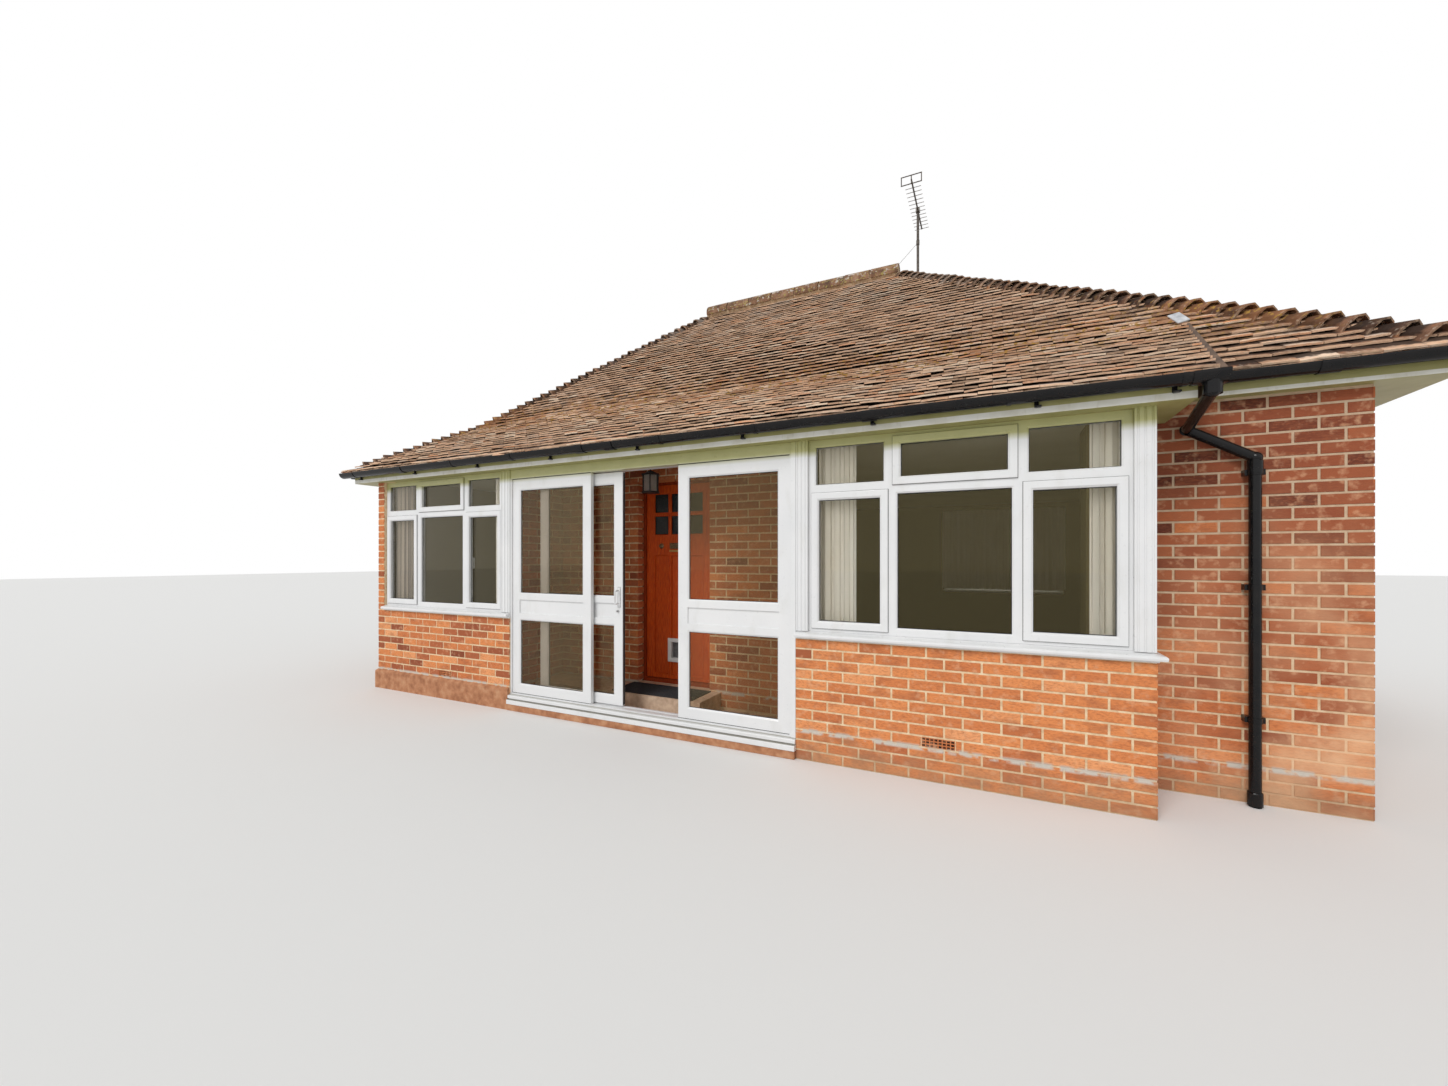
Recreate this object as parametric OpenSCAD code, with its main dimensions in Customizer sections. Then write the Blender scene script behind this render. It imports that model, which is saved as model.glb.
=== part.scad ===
// A brick bungalow with two window bays, an enclosed porch between them and a hipped tiled roof.
// The origin is the centre of the walls' footprint at ground level. +Y runs from front to back.

/* [Building] */
// Width of the part that projects at the front
front_w = 7230; // [7150:10:7350]
// Width of the wing that stands back at its right
wing_w = 1100; // [1000:10:1200]
// How far the front projects before the wing
front_proj = 535; // [480:5:600]
// Depth of the house from the bays to the rear wall
house_d = 6560; // [6400:10:7000]
// Thickness of a cavity wall
wall_t = 270; // [255:5:300]
// Height of the dwarf walls under the windows
dwarf_h = 900; // [825:75:975]
// Height of the ground floor above the ground
floor_h = 225; // [180:5:240]
// Height of the soffit over the front
soffit_z = 2365; // [2330:5:2400]
// Height of the ceiling above the ground
ceiling_z = 2400; // [2390:5:2410]

/* [Roof] */
// Height of the ridge, at the tiles' upper face
ridge_z = 5250; // [5100:10:5400]
// Distance of the ridge's left end from the left wall
ridge_in_left = 2480; // [2380:5:2600]
// Distance of the ridge's right end from the right wall
ridge_in_right = 3040; // [2900:5:3150]
// Height of the tiles' lower edge over the bays and the left side
eave_low_z = 2520; // [2505:5:2535]
// Height of the tiles' lower edge over the wing, the right and the rear
eave_high_z = 2640; // [2625:5:2660]
// Overhang of the tiles before the bays
eave_front = 150; // [130:5:180]
// Overhang of the tiles before the wing
eave_wing = 145; // [125:5:165]
// Overhang of the tiles at the left and right
eave_side = 370; // [330:5:400]
// Overhang of the tiles at the rear
eave_rear = 150; // [130:5:200]
// Distance of the change of pitch behind the face of the bays
break_d = 1100; // [1000:10:1200]
// Thickness of the tiles and battens, measured upright
tile_t = 35; // [30:1:45]
// Depth of the rafters under the tiles, measured upright
rafter_t = 150; // [140:5:160]
// How far the tiles reach beyond the fascia
tile_over = 60; // [50:5:70]
// Thickness of the fascia boards
fascia_t = 20; // [18:1:25]
// Height of the fascia boards
fascia_h = 145; // [130:5:148]
// Thickness of the soffit boards
soffit_t = 12; // [9:1:15]
// Radius of the ridge tiles
ridge_r = 105; // [100:1:115]
// Radius of the hip tiles
hip_r = 115; // [110:1:125]

/* [Windows] */
// Width of the left bay, from the corner to the porch
left_bay_w = 2110; // [2060:10:2160]
// Width of the right bay, from the porch to the corner
right_bay_w = 2152; // [2120:1:2190]
// Width of the brick at the left corner
corner_brick = 100; // [90:5:110]
// Width of the moulded post left of the porch
left_post_w = 125; // [110:5:140]
// Width of the moulded post right of the porch
right_post_w = 90; // [80:5:110]
// Width of the post on the right corner
corner_post_w = 103; // [95:1:115]
// Thickness of the window sills
sill_t = 55; // [45:5:65]
// How far the sills stand before the brick
sill_out = 45; // [35:5:55]
// Depth of the window frames
frame_d = 70; // [60:5:80]
// How far the frames stand back from the brick face
frame_back = 30; // [20:5:40]
// Visible width of the outer frames
frame_w = 45; // [40:1:55]
// Visible width of a mullion or transom
bar_w = 72; // [60:1:80]
// Width of an opening sash's own frame
sash_w = 42; // [36:1:50]
// How far a sash stands proud of its frame
sash_proud = 14; // [10:1:18]
// Thickness of the double glazing
glass_t = 24; // [20:1:28]
// Height of the transom's centre above the ground
transom_z = 1990; // [1950:5:2030]
// Width of the rear windows
rear_window_w = 1800; // [1500:10:2000]
// Distance of the rear windows from the ends of the wall
rear_window_in = 900; // [800:10:1100]

/* [Porch] */
// Distance of the porch's rear wall behind the face of the bays
porch_d = 750; // [700:10:800]
// Thickness of the porch's side walls
porch_side_t = 100; // [90:5:110]
// Top of the threshold track above the ground
track_h = 160; // [150:5:165]
// Height of the porch floor
porch_floor_h = 60; // [50:5:75]
// Width of a sliding or fixed panel
panel_w = 985; // [975:1:995]
// Width of the panels' stiles
stile_w = 90; // [80:1:100]
// Thickness of a panel
panel_t = 40; // [36:1:44]
// Height of the panels' upper edge
panel_top = 2270; // [2250:5:2290]
// Height of the upper glass's lower edge
mid_top = 1143; // [1100:1:1180]
// Height of the lower glass's upper edge
mid_bottom = 897; // [860:1:940]
// Height of the lower glass's lower edge
low_rail_top = 250; // [240:5:265]
// Height of the panels' top rail
top_rail = 97; // [85:1:110]
// Position of the sliding panel's left edge, from the porch's left edge
slide_at = 335; // [300:5:400]
// Height of the step before the front door
step_h = 215; // [205:5:222]
// Front edge of the step, behind the face of the bays
step_front = 335; // [300:5:370]

/* [Front door] */
// Width of the front door
door_w = 762; // [740:1:780]
// Height of the front door
door_h = 1981; // [1960:1:1990]
// Thickness of the front door
door_t = 44; // [40:1:50]
// Height of the door's lower edge
door_z = 263; // [255:1:270]
// Gap around the door
door_gap = 5; // [5:0.5:8]
// Width of the door frame's sides
door_frame_w = 34; // [30:1:40]
// Depth of the door frame
door_frame_d = 90; // [80:5:110]
// Left edge of the doorway, from the porch's left edge
doorway_at = 1007; // [1000:1:1020]
// Distance of the door's face behind the porch's rear wall
door_back = 110; // [100:5:120]
// Outer size of the cat flap's frame
flap_frame = 240; // [230:2:250]
// Height of the cat flap's centre
flap_z = 558; // [540:2:580]
// Thickness of the cat flap
flap_t = 6; // [5:0.5:8]

/* [Gutters and fittings] */
// Radius of the half-round gutters
gutter_r = 56; // [50:1:62]
// Thickness of the gutters
gutter_t = 3; // [2.5:0.5:4]
// Radius of the downpipe
pipe_r = 30; // [27:1:34]
// Height of the aerial's mast above the ridge
mast_h = 780; // [700:10:900]
// Radius of the aerial's mast
mast_r = 16; // [12:1:20]

/* [Hidden] */
$fn = 32;

// Cuts reach this far past a face, and half-spaces are this large.
over = 10;
vast = 20000;
// Gap at which pieces that touch are set apart.
seat = 0.3;

// Faces of the walls.
house_w = front_w + wing_w;
left_x = -house_w / 2;
right_x = house_w / 2;
front_y = -house_d / 2;
rear_y = house_d / 2;
proj_x = left_x + front_w;
wing_y = front_y + front_proj;
porch_x0 = left_x + left_bay_w;
porch_x1 = proj_x - right_bay_w;
porch_y = front_y + porch_d;
frame_y = front_y + frame_back;
frame_y1 = frame_y + frame_d;
sill_top = dwarf_h + sill_t;

// Eaves lines of the tiles.
eave_y = front_y - eave_front;
eave_wing_y = wing_y - eave_wing;
eave_x0 = left_x - eave_side;
eave_x1 = right_x + eave_side;
eave_y1 = rear_y + eave_rear;
// The ridge lies midway between the eaves of the wing and the rear.
ridge_y = (eave_wing_y + eave_y1) / 2;
ridge_x0 = left_x + ridge_in_left;
ridge_x1 = right_x - ridge_in_right;
// Rise of each slope for each millimetre of run.
m_front = (ridge_z - eave_high_z) / (ridge_y - eave_wing_y);
m_rear = (ridge_z - eave_high_z) / (eave_y1 - ridge_y);
m_left = (ridge_z - eave_low_z) / (ridge_x0 - eave_x0);
m_right = (ridge_z - eave_high_z) / (eave_x1 - ridge_x1);
break_y = front_y + break_d;
break_z = ridge_z - (ridge_y - break_y) * m_front;
m_low = (break_z - eave_low_z) / (break_y - eave_y);
// The lower slope's verge at the right, at the eave and at the change of pitch.
verge_out = 207;
verge_splay = 150;
verge_x0 = proj_x + verge_out;
verge_x1 = verge_x0 + verge_splay;
// Where the left hip meets the change of pitch, and where the hips leave the eaves.
hip_break_x = ridge_x0 - (ridge_z - break_z) / m_left;
hip_rear_x = ridge_x0 - (ridge_z - eave_high_z) / m_left;
// Faces of the fascia boards.
fascia_y = eave_y + tile_over;
fascia_wing_y = eave_wing_y + tile_over;
fascia_x0 = eave_x0 + tile_over;
fascia_x1 = eave_x1 - tile_over;
fascia_y1 = eave_y1 - tile_over;
high_soffit_z = soffit_z + eave_high_z - eave_low_z;
// Right end of the boxed eaves over the bays.
box_in = 50;
box_end_x = verge_x0 - box_in;
// Underside of the rafters below the tiles' upper face, with the walls' tops just clear of it.
rafters_under = tile_t + rafter_t + seat;

// A block between two corners.
module block(a, b) {
    translate(a) cube(b - a);
}

// A slanted half-space above the line y = y0, z = z0 that rises with slope m along +Y.
module above_y(y0, z0, m) {
    translate([0, y0, z0]) rotate([atan(m), 0, 0])
        translate([-vast, -vast, 0]) cube(2 * vast);
}

// A slanted half-space above the line x = x0, z = z0 that rises with slope m along +X.
module above_x(x0, z0, m) {
    translate([x0, 0, z0]) rotate([0, -atan(m), 0])
        translate([-vast, -vast, 0]) cube(2 * vast);
}

// The space above the underside of the rafters, over the bays.
module over_low_roof() {
    above_y(eave_y, eave_low_z - rafters_under, m_low);
}

module over_main_roof() {
    above_y(eave_wing_y, eave_high_z - rafters_under, m_front);
}

module over_left_roof() {
    above_x(eave_x0, eave_low_z - rafters_under, m_left);
}

module over_right_roof() {
    above_x(eave_x1, eave_high_z - rafters_under, -m_right);
}

module over_rear_roof() {
    above_y(eave_y1, eave_high_z - rafters_under, -m_rear);
}

// A layer of a slope: the tiles with part "tiles", or the rafters under them.
module layer_y(y0, z0, m, y1, part) {
    top = part == "tiles" ? 0 : -tile_t;
    bottom = part == "tiles" ? -tile_t : -tile_t - rafter_t;
    z1 = z0 + (y1 - y0) * m;
    translate([-vast / 2, 0, 0]) rotate([90, 0, 90]) linear_extrude(vast)
        polygon([[y0, z0 + bottom], [y1, z1 + bottom], [y1, z1 + top], [y0, z0 + top]]);
}

module layer_x(x0, z0, m, x1, part) {
    top = part == "tiles" ? 0 : -tile_t;
    bottom = part == "tiles" ? -tile_t : -tile_t - rafter_t;
    z1 = z0 + (x1 - x0) * m;
    translate([0, vast / 2, 0]) rotate([90, 0, 0]) linear_extrude(vast)
        polygon([[x0, z0 + bottom], [x1, z1 + bottom], [x1, z1 + top], [x0, z0 + top]]);
}

// The plan of a slope, as a tall prism.
module plan(points) {
    linear_extrude(2 * ridge_z) polygon(points);
}

// The plan inside the fascia boards, which ends the rafters.
module inside_fascias() {
    plan([[fascia_x0 + fascia_t, fascia_y + fascia_t], [box_end_x - fascia_t, fascia_y + fascia_t],
        [box_end_x - fascia_t, fascia_wing_y + fascia_t], [fascia_x1 - fascia_t, fascia_wing_y + fascia_t],
        [fascia_x1 - fascia_t, fascia_y1 - fascia_t], [fascia_x0 + fascia_t, fascia_y1 - fascia_t]]);
}

/* The roof's slopes */
function main_plan() = [[ridge_x0, ridge_y], [ridge_x1, ridge_y], [eave_x1, eave_wing_y],
    [verge_x0 + verge_splay * (eave_wing_y - eave_y) / (break_y - eave_y), eave_wing_y],
    [verge_x1, break_y], [hip_break_x, break_y]];
function low_plan() = [[hip_break_x, break_y], [verge_x1, break_y], [verge_x0, eave_y], [eave_x0, eave_y]];
function left_plan() = [[ridge_x0, ridge_y], [hip_break_x, break_y], [eave_x0, eave_y],
    [eave_x0, eave_y1], [hip_rear_x, eave_y1]];
function right_plan() = [[ridge_x1, ridge_y], [eave_x1, eave_wing_y], [eave_x1, eave_y1]];
function rear_plan() = [[ridge_x0, ridge_y], [ridge_x1, ridge_y], [eave_x1, eave_y1], [hip_rear_x, eave_y1]];

module main_front_slope() {
    color("sienna") intersection() {
        layer_y(eave_wing_y, eave_high_z, m_front, ridge_y, "tiles");
        plan(main_plan());
    }
    color("tan") intersection() {
        layer_y(eave_wing_y, eave_high_z, m_front, ridge_y, "rafters");
        plan(main_plan());
        inside_fascias();
    }
}

module lower_front_slope() {
    color("sienna") intersection() {
        layer_y(eave_y, eave_low_z, m_low, break_y, "tiles");
        plan(low_plan());
    }
    color("tan") intersection() {
        layer_y(eave_y, eave_low_z, m_low, break_y, "rafters");
        plan(low_plan());
        inside_fascias();
    }
}

module left_slope() {
    color("sienna") intersection() {
        layer_x(eave_x0, eave_low_z, m_left, ridge_x0, "tiles");
        plan(left_plan());
    }
    color("tan") intersection() {
        layer_x(eave_x0, eave_low_z, m_left, ridge_x0, "rafters");
        plan(left_plan());
        inside_fascias();
    }
}

module right_slope() {
    color("sienna") intersection() {
        layer_x(eave_x1, eave_high_z, -m_right, ridge_x1, "tiles");
        plan(right_plan());
    }
    color("tan") intersection() {
        layer_x(eave_x1, eave_high_z, -m_right, ridge_x1, "rafters");
        plan(right_plan());
        inside_fascias();
    }
}

module rear_slope() {
    color("sienna") intersection() {
        layer_y(eave_y1, eave_high_z, -m_rear, ridge_y, "tiles");
        plan(rear_plan());
    }
    color("tan") intersection() {
        layer_y(eave_y1, eave_high_z, -m_rear, ridge_y, "rafters");
        plan(rear_plan());
        inside_fascias();
    }
}

// The space under a slope's tiles, rising along +Y or +X.
module below_y(y0, z0, m) {
    translate([0, y0, z0]) rotate([atan(m), 0, 0])
        translate([-vast, -vast, -2 * vast]) cube(2 * vast);
}

module below_x(x0, z0, m) {
    translate([x0, 0, z0]) rotate([0, -atan(m), 0])
        translate([-vast, -vast, -2 * vast]) cube(2 * vast);
}

// Everything under the tiles' upper face, and the bedding of the caps on it.
module under_tiles() {
    low_z = eave_low_z + seat;
    high_z = eave_high_z + seat;
    intersection() {
        below_y(eave_wing_y, high_z, m_front);
        below_y(eave_y1, high_z, -m_rear);
        below_x(eave_x0, low_z, m_left);
        below_x(eave_x1, high_z, -m_right);
    }
    intersection() {
        below_y(eave_y, low_z, m_low);
        below_x(eave_x0, low_z, m_left);
        plan([[left_x - vast, break_y], [verge_x1, break_y], [verge_x0, eave_y - vast],
            [left_x - vast, eave_y - vast]]);
    }
}

// A round cap along a line from p to q, bedded on the tiles at both sides.
module cap_run(p, q, r) {
    d = q - p;
    difference() {
        translate(p) rotate([0, acos(d.z / norm(d)), atan2(d.y, d.x)]) cylinder(r = r, h = norm(d));
        under_tiles();
    }
}

// The ridge tiles' axis is just under the ridge line, and the bonnets' axis further under the hip line.
ridge_sink = 5;
hip_sink = 110;

module ridge_tiles() {
    z = ridge_z - ridge_sink;
    color("saddlebrown") cap_run([ridge_x0, ridge_y, z], [ridge_x1, ridge_y, z], ridge_r);
}

function sunk(x, y, z) = [x, y, z - hip_sink];
// A point at distance s from p on the way to q.
function towards(p, q, s) = p + (q - p) * s / norm(q - p);

// Caps on a hip start clear of the one before them and end inside the eaves.
hip_start = 1.1 * hip_r;
bend_start = 60;
hip_end = 130;

// The hips run from the ends of the ridge to the eaves, and the front left one bends with the pitch.
module hip_tiles() {
    peak_left = sunk(ridge_x0, ridge_y, ridge_z);
    peak_right = sunk(ridge_x1, ridge_y, ridge_z);
    bend = sunk(hip_break_x, break_y, break_z);
    front_left = sunk(eave_x0, eave_y, eave_low_z);
    corners = [[peak_right, sunk(eave_x1, eave_wing_y, eave_high_z)],
        [peak_right, sunk(eave_x1, eave_y1, eave_high_z)],
        [peak_left, sunk(hip_rear_x, eave_y1, eave_high_z)]];
    color("saddlebrown") {
        cap_run(towards(peak_left, bend, hip_start), bend, hip_r);
        cap_run(towards(bend, front_left, bend_start), towards(front_left, bend, hip_end), hip_r);
        for (c = corners) cap_run(towards(c[0], c[1], hip_start), towards(c[1], c[0], hip_end), hip_r);
    }
}

/* Floors and walls */
module floor_slab() {
    color("gainsboro") difference() {
        block([left_x + wall_t, front_y + wall_t, 0], [right_x - wall_t, rear_y - wall_t, floor_h]);
        block([porch_x0 - porch_side_t, front_y, -over],
            [porch_x1 + porch_side_t, porch_y + wall_t, floor_h + over]);
        block([proj_x - wall_t, front_y, -over], [right_x, wing_y + wall_t, floor_h + over]);
    }
}

module left_bay_wall() {
    color("indianred") block([left_x + wall_t, front_y, 0], [porch_x0, front_y + wall_t, dwarf_h]);
}

// The right bay's wall turns back at the corner to the wing.
module right_bay_wall() {
    color("indianred") union() {
        block([porch_x1, front_y, 0], [proj_x, front_y + wall_t, dwarf_h]);
        block([proj_x - wall_t, front_y, 0], [proj_x, wing_y, dwarf_h]);
    }
}

// The side wall's front end is rebated for the left window and its curtain, so that half a brick
// shows beside the frame.
rebate_back = 200;

module left_side_wall() {
    color("indianred") difference() {
        block([left_x, front_y, 0], [left_x + wall_t, rear_y, ridge_z]);
        block([left_x + corner_brick, front_y - over, dwarf_h],
            [left_x + wall_t + over, frame_y1 + rebate_back, soffit_z]);
        over_left_roof();
        intersection() {
            over_low_roof();
            over_main_roof();
        }
        over_rear_roof();
    }
}

module right_side_wall() {
    color("indianred") difference() {
        block([right_x - wall_t, wing_y + wall_t, 0], [right_x, rear_y - wall_t, ridge_z]);
        over_right_roof();
        over_main_roof();
        over_rear_roof();
    }
}

module wing_front_wall() {
    color("indianred") difference() {
        block([proj_x - wall_t, wing_y, 0], [right_x, wing_y + wall_t, ridge_z]);
        over_right_roof();
        over_main_roof();
    }
}

// Places of the rear windows' left edges.
rear_window_x = [left_x + rear_window_in, right_x - rear_window_in - rear_window_w];

module rear_wall() {
    color("indianred") difference() {
        block([left_x + wall_t, rear_y - wall_t, 0], [right_x, rear_y, ridge_z]);
        for (x = rear_window_x)
            block([x, rear_y - wall_t - over, dwarf_h],
                [x + rear_window_w, rear_y + over, soffit_z - bar_w]);
        over_right_roof();
        over_left_roof();
        over_rear_roof();
    }
}

door_x0 = porch_x0 + doorway_at;
doorway_w = door_w + 2 * door_gap + 2 * door_frame_w;
door_top = door_z + door_h;
doorway_top = door_top + door_gap + door_frame_w;

module porch_rear_wall_left() {
    color("indianred") block([porch_x0 - porch_side_t, porch_y, 0], [door_x0, porch_y + wall_t, ceiling_z]);
}

module porch_rear_wall_right() {
    color("indianred") block([door_x0 + doorway_w, porch_y, 0],
        [porch_x1 + porch_side_t, porch_y + wall_t, ceiling_z]);
}

module porch_side_walls() {
    color("indianred") {
        for (x = [porch_x0 - porch_side_t, porch_x1]) {
            block([x, front_y + wall_t, 0], [x + porch_side_t, porch_y, ceiling_z]);
            block([x, frame_y1, sill_top], [x + porch_side_t, front_y + wall_t, soffit_z]);
            block([x, frame_y1, dwarf_h], [x + porch_side_t, front_y + wall_t, sill_top]);
        }
    }
}

// One lintel over the doorway, and the timber plates over the windows and the porch.
module lintels() {
    color("indianred") block([door_x0, porch_y, doorway_top],
        [door_x0 + doorway_w, porch_y + wall_t, ceiling_z]);
    color("tan") difference() {
        union() {
            block([left_x + wall_t, frame_y, soffit_z], [proj_x, front_y + wall_t, ridge_z]);
            block([side_light_x, front_y + wall_t, soffit_z], [proj_x, wing_y, ridge_z]);
        }
        over_low_roof();
    }
}

side_light_x = proj_x - frame_back - frame_d;
ceiling_t = 13;

module ceiling() {
    color("whitesmoke") difference() {
        block([left_x + wall_t, front_y + wall_t, ceiling_z],
            [right_x - wall_t, rear_y - wall_t, ceiling_z + ceiling_t]);
        block([side_light_x, front_y, 0], [right_x, wing_y, ridge_z]);
        block([proj_x - wall_t, wing_y - over, 0], [right_x, wing_y + wall_t, ridge_z]);
    }
}

module porch_step() {
    color("tan") {
        block([porch_x0, screen_y + screen_d, 0], [porch_x1, porch_y, porch_floor_h]);
        block([porch_x0, front_y + step_front, porch_floor_h],
            [door_x0 + doorway_w + step_past, porch_y, step_h]);
        block([door_x0, porch_y, 0], [door_x0 + doorway_w, porch_y + wall_t, step_h]);
    }
}

step_past = 120;
mat_t = 10;
mat_in = 25;

module door_mat() {
    color("dimgray") block([door_x0 - mat_in, front_y + step_front + mat_in, step_h],
        [door_x0 + doorway_w + mat_in, porch_y - mat_in, step_h + mat_t]);
}

/* Windows */
module window_sills() {
    color("white") {
        block([left_x + corner_brick, front_y - sill_out, dwarf_h], [porch_x0, frame_y + frame_d, sill_top]);
        difference() {
            block([porch_x1, front_y - sill_out, dwarf_h], [proj_x + sill_out, wing_y, sill_top]);
            block([porch_x1 - over, frame_y + frame_d, dwarf_h - over],
                [proj_x - frame_d - frame_back, wing_y + over, sill_top + over]);
        }
        for (x = rear_window_x)
            block([x, rear_y - wall_t, dwarf_h], [x + rear_window_w, rear_y + sill_out, sill_top]);
    }
}

// A post with shallow flutes down its face.
module fluted_post(x0, x1) {
    flutes = 3;
    flute_r = (x1 - x0) / (2 * flutes + 2);
    color("white") difference() {
        block([x0, front_y + seat, sill_top], [x1, frame_y1, soffit_z]);
        for (i = [0 : flutes - 1])
            translate([x0 + (x1 - x0) * (i + 0.5) / flutes, front_y + seat, sill_top - over])
                cylinder(r = flute_r / 2, h = soffit_z);
    }
}

left_post_x = porch_x0 - left_post_w;
right_post_x = porch_x1 + right_post_w;

module moulded_posts() {
    fluted_post(left_post_x, porch_x0);
    fluted_post(porch_x1, right_post_x);
    fluted_post(proj_x - corner_post_w, proj_x);
}

// One window: three lights over a transom, with fixed and opening panes.
// The frame's outline is w by h in the XZ plane, and its depth runs along +Y.
module pane_hole(x0, x1, z0, z1) {
    translate([x0, -sash_proud - over, z0]) cube([x1 - x0, frame_d + sash_proud + 2 * over, z1 - z0]);
}

// Mullion centres, as measured from the left of the frame.
mullions = [0.3, 0.705];

function col_x0(w, i) = i == 0 ? frame_w : w * mullions[i - 1] + bar_w / 2;
function col_x1(w, i) = i == 2 ? w - frame_w : w * mullions[i] - bar_w / 2;

// The sashes stand proud: the outer lower lights and the middle upper light open.
module window_frame(w, h, transom) {
    upper = [transom + bar_w / 2, h - frame_w];
    lower = [frame_w, transom - bar_w / 2];
    difference() {
        union() {
            cube([w, frame_d, h]);
            for (i = [0, 2])
                translate([col_x0(w, i) - sash_w / 2, -sash_proud, lower[0] - sash_w / 2])
                    cube([col_x1(w, i) - col_x0(w, i) + sash_w, sash_proud, lower[1] - lower[0] + sash_w]);
            translate([col_x0(w, 1) - sash_w / 2, -sash_proud, upper[0] - sash_w / 2])
                cube([col_x1(w, 1) - col_x0(w, 1) + sash_w, sash_proud, upper[1] - upper[0] + sash_w]);
        }
        for (i = [0 : 2]) {
            low_in = i == 1 ? 0 : sash_w / 2;
            up_in = i == 1 ? sash_w / 2 : 0;
            pane_hole(col_x0(w, i) + low_in, col_x1(w, i) - low_in, lower[0] + low_in, lower[1] - low_in);
            pane_hole(col_x0(w, i) + up_in, col_x1(w, i) - up_in, upper[0] + up_in, upper[1] - up_in);
        }
    }
}

module window_panes(w, h, transom) {
    upper = [transom + bar_w / 2, h - frame_w];
    lower = [frame_w, transom - bar_w / 2];
    for (i = [0 : 2]) {
        low_in = i == 1 ? 0 : sash_w / 2;
        up_in = i == 1 ? sash_w / 2 : 0;
        translate([col_x0(w, i) + low_in, (frame_d - glass_t) / 2, lower[0] + low_in])
            cube([col_x1(w, i) - col_x0(w, i) - 2 * low_in, glass_t, lower[1] - lower[0] - 2 * low_in]);
        translate([col_x0(w, i) + up_in, (frame_d - glass_t) / 2, upper[0] + up_in])
            cube([col_x1(w, i) - col_x0(w, i) - 2 * up_in, glass_t, upper[1] - upper[0] - 2 * up_in]);
    }
}

window_h = soffit_z - sill_top;
left_window_x = left_x + corner_brick;
left_window_w = left_post_x - left_window_x;
right_window_x = right_post_x;
right_window_w = proj_x - corner_post_w - right_window_x;
rear_window_h = soffit_z - bar_w - sill_top;
side_light_d = wing_y - frame_y1;

module left_window_frame() {
    color("white") translate([left_window_x, frame_y, sill_top])
        window_frame(left_window_w, window_h, transom_z - sill_top);
}

// The right window turns the corner with a small side light.
module side_light_place() {
    translate([proj_x - frame_back, frame_y1, sill_top]) rotate([0, 0, 90]) children();
}

module right_window_frame() {
    color("white") translate([right_window_x, frame_y, sill_top])
        window_frame(right_window_w, window_h, transom_z - sill_top);
    color("white") side_light_place() difference() {
        cube([side_light_d, frame_d, window_h]);
        translate([frame_w, -over, frame_w])
            cube([side_light_d - 2 * frame_w, frame_d + 2 * over, window_h - 2 * frame_w]);
    }
}

module rear_window_frames() {
    color("white") for (x = rear_window_x)
        translate([x + rear_window_w, rear_y - frame_back, sill_top]) rotate([0, 0, 180])
            window_frame(rear_window_w, rear_window_h, transom_z - sill_top);
}

module window_glass() {
    color("lightblue") {
        translate([left_window_x, frame_y, sill_top])
            window_panes(left_window_w, window_h, transom_z - sill_top);
        translate([right_window_x, frame_y, sill_top])
            window_panes(right_window_w, window_h, transom_z - sill_top);
        side_light_place() translate([frame_w, (frame_d - glass_t) / 2, frame_w])
            cube([side_light_d - 2 * frame_w, glass_t, window_h - 2 * frame_w]);
        for (x = rear_window_x)
            translate([x + rear_window_w, rear_y - frame_back, sill_top]) rotate([0, 0, 180])
                window_panes(rear_window_w, rear_window_h, transom_z - sill_top);
    }
}

/* The porch's glazed screen */
left_jamb = 18;
right_jamb = 53;
screen_back = 10;
screen_y = front_y + screen_back;
screen_d = 125;
foot_gap = 11;
head_gap = 8;
fixed_back = 15;
fixed_y = screen_y + fixed_back;
slide_clear = 12;
slide_y = fixed_y + panel_t + slide_clear;
rail_h = 5;
rail_d = 8;
pane_t = 6;
// The solid band between the lights is sunk between two rails.
mid_rail = 55;
band_sink = 8;
fixed_x = [porch_x0 + left_jamb, porch_x1 - right_jamb - panel_w];
slide_x = porch_x0 + slide_at;

// Head, jambs and threshold, with the rail that the sliding panel runs on.
module screen_frame() {
    color("white") union() {
        difference() {
            block([porch_x0, screen_y, 0], [porch_x1, screen_y + screen_d, soffit_z]);
            block([porch_x0 + left_jamb, screen_y - over, track_h],
                [porch_x1 - right_jamb, screen_y + screen_d + over, panel_top + head_gap]);
        }
        block([porch_x0, front_y - sill_out, 0], [porch_x1, screen_y, track_h / 2]);
        block([porch_x0 + left_jamb, slide_y + (panel_t - rail_d) / 2, track_h],
            [porch_x1 - right_jamb, slide_y + (panel_t + rail_d) / 2, track_h + rail_h]);
    }
}

// A glazed panel with a low and a high light and a solid band between them.
module panel_frame(x, y, z0, z1) {
    difference() {
        block([x, y, z0], [x + panel_w, y + panel_t, z1]);
        block([x + stile_w, y - over, low_rail_top],
            [x + panel_w - stile_w, y + panel_t + over, mid_bottom]);
        block([x + stile_w, y - over, mid_top],
            [x + panel_w - stile_w, y + panel_t + over, panel_top - top_rail]);
        block([x + stile_w, y - over, mid_bottom + mid_rail],
            [x + panel_w - stile_w, y + band_sink, mid_top - mid_rail]);
    }
}

module panel_glass(x, y) {
    for (z = [[low_rail_top, mid_bottom], [mid_top, panel_top - top_rail]])
        block([x + stile_w, y + (panel_t - pane_t) / 2, z[0]],
            [x + panel_w - stile_w, y + (panel_t + pane_t) / 2, z[1]]);
}

module fixed_panels() {
    color("white") for (x = fixed_x) panel_frame(x, fixed_y, track_h, panel_top + head_gap);
}

module fixed_panel_glass() {
    color("lightblue") for (x = fixed_x) panel_glass(x, fixed_y);
}

roller_r = 12;
roller_w = 10;
roller_in = 120;
roller_gap = 2;
handle_z = 1080;
handle_h = 130;
handle_w = 24;
handle_out = 48;
handle_t = 14;
handle_edge = 35;

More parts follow.
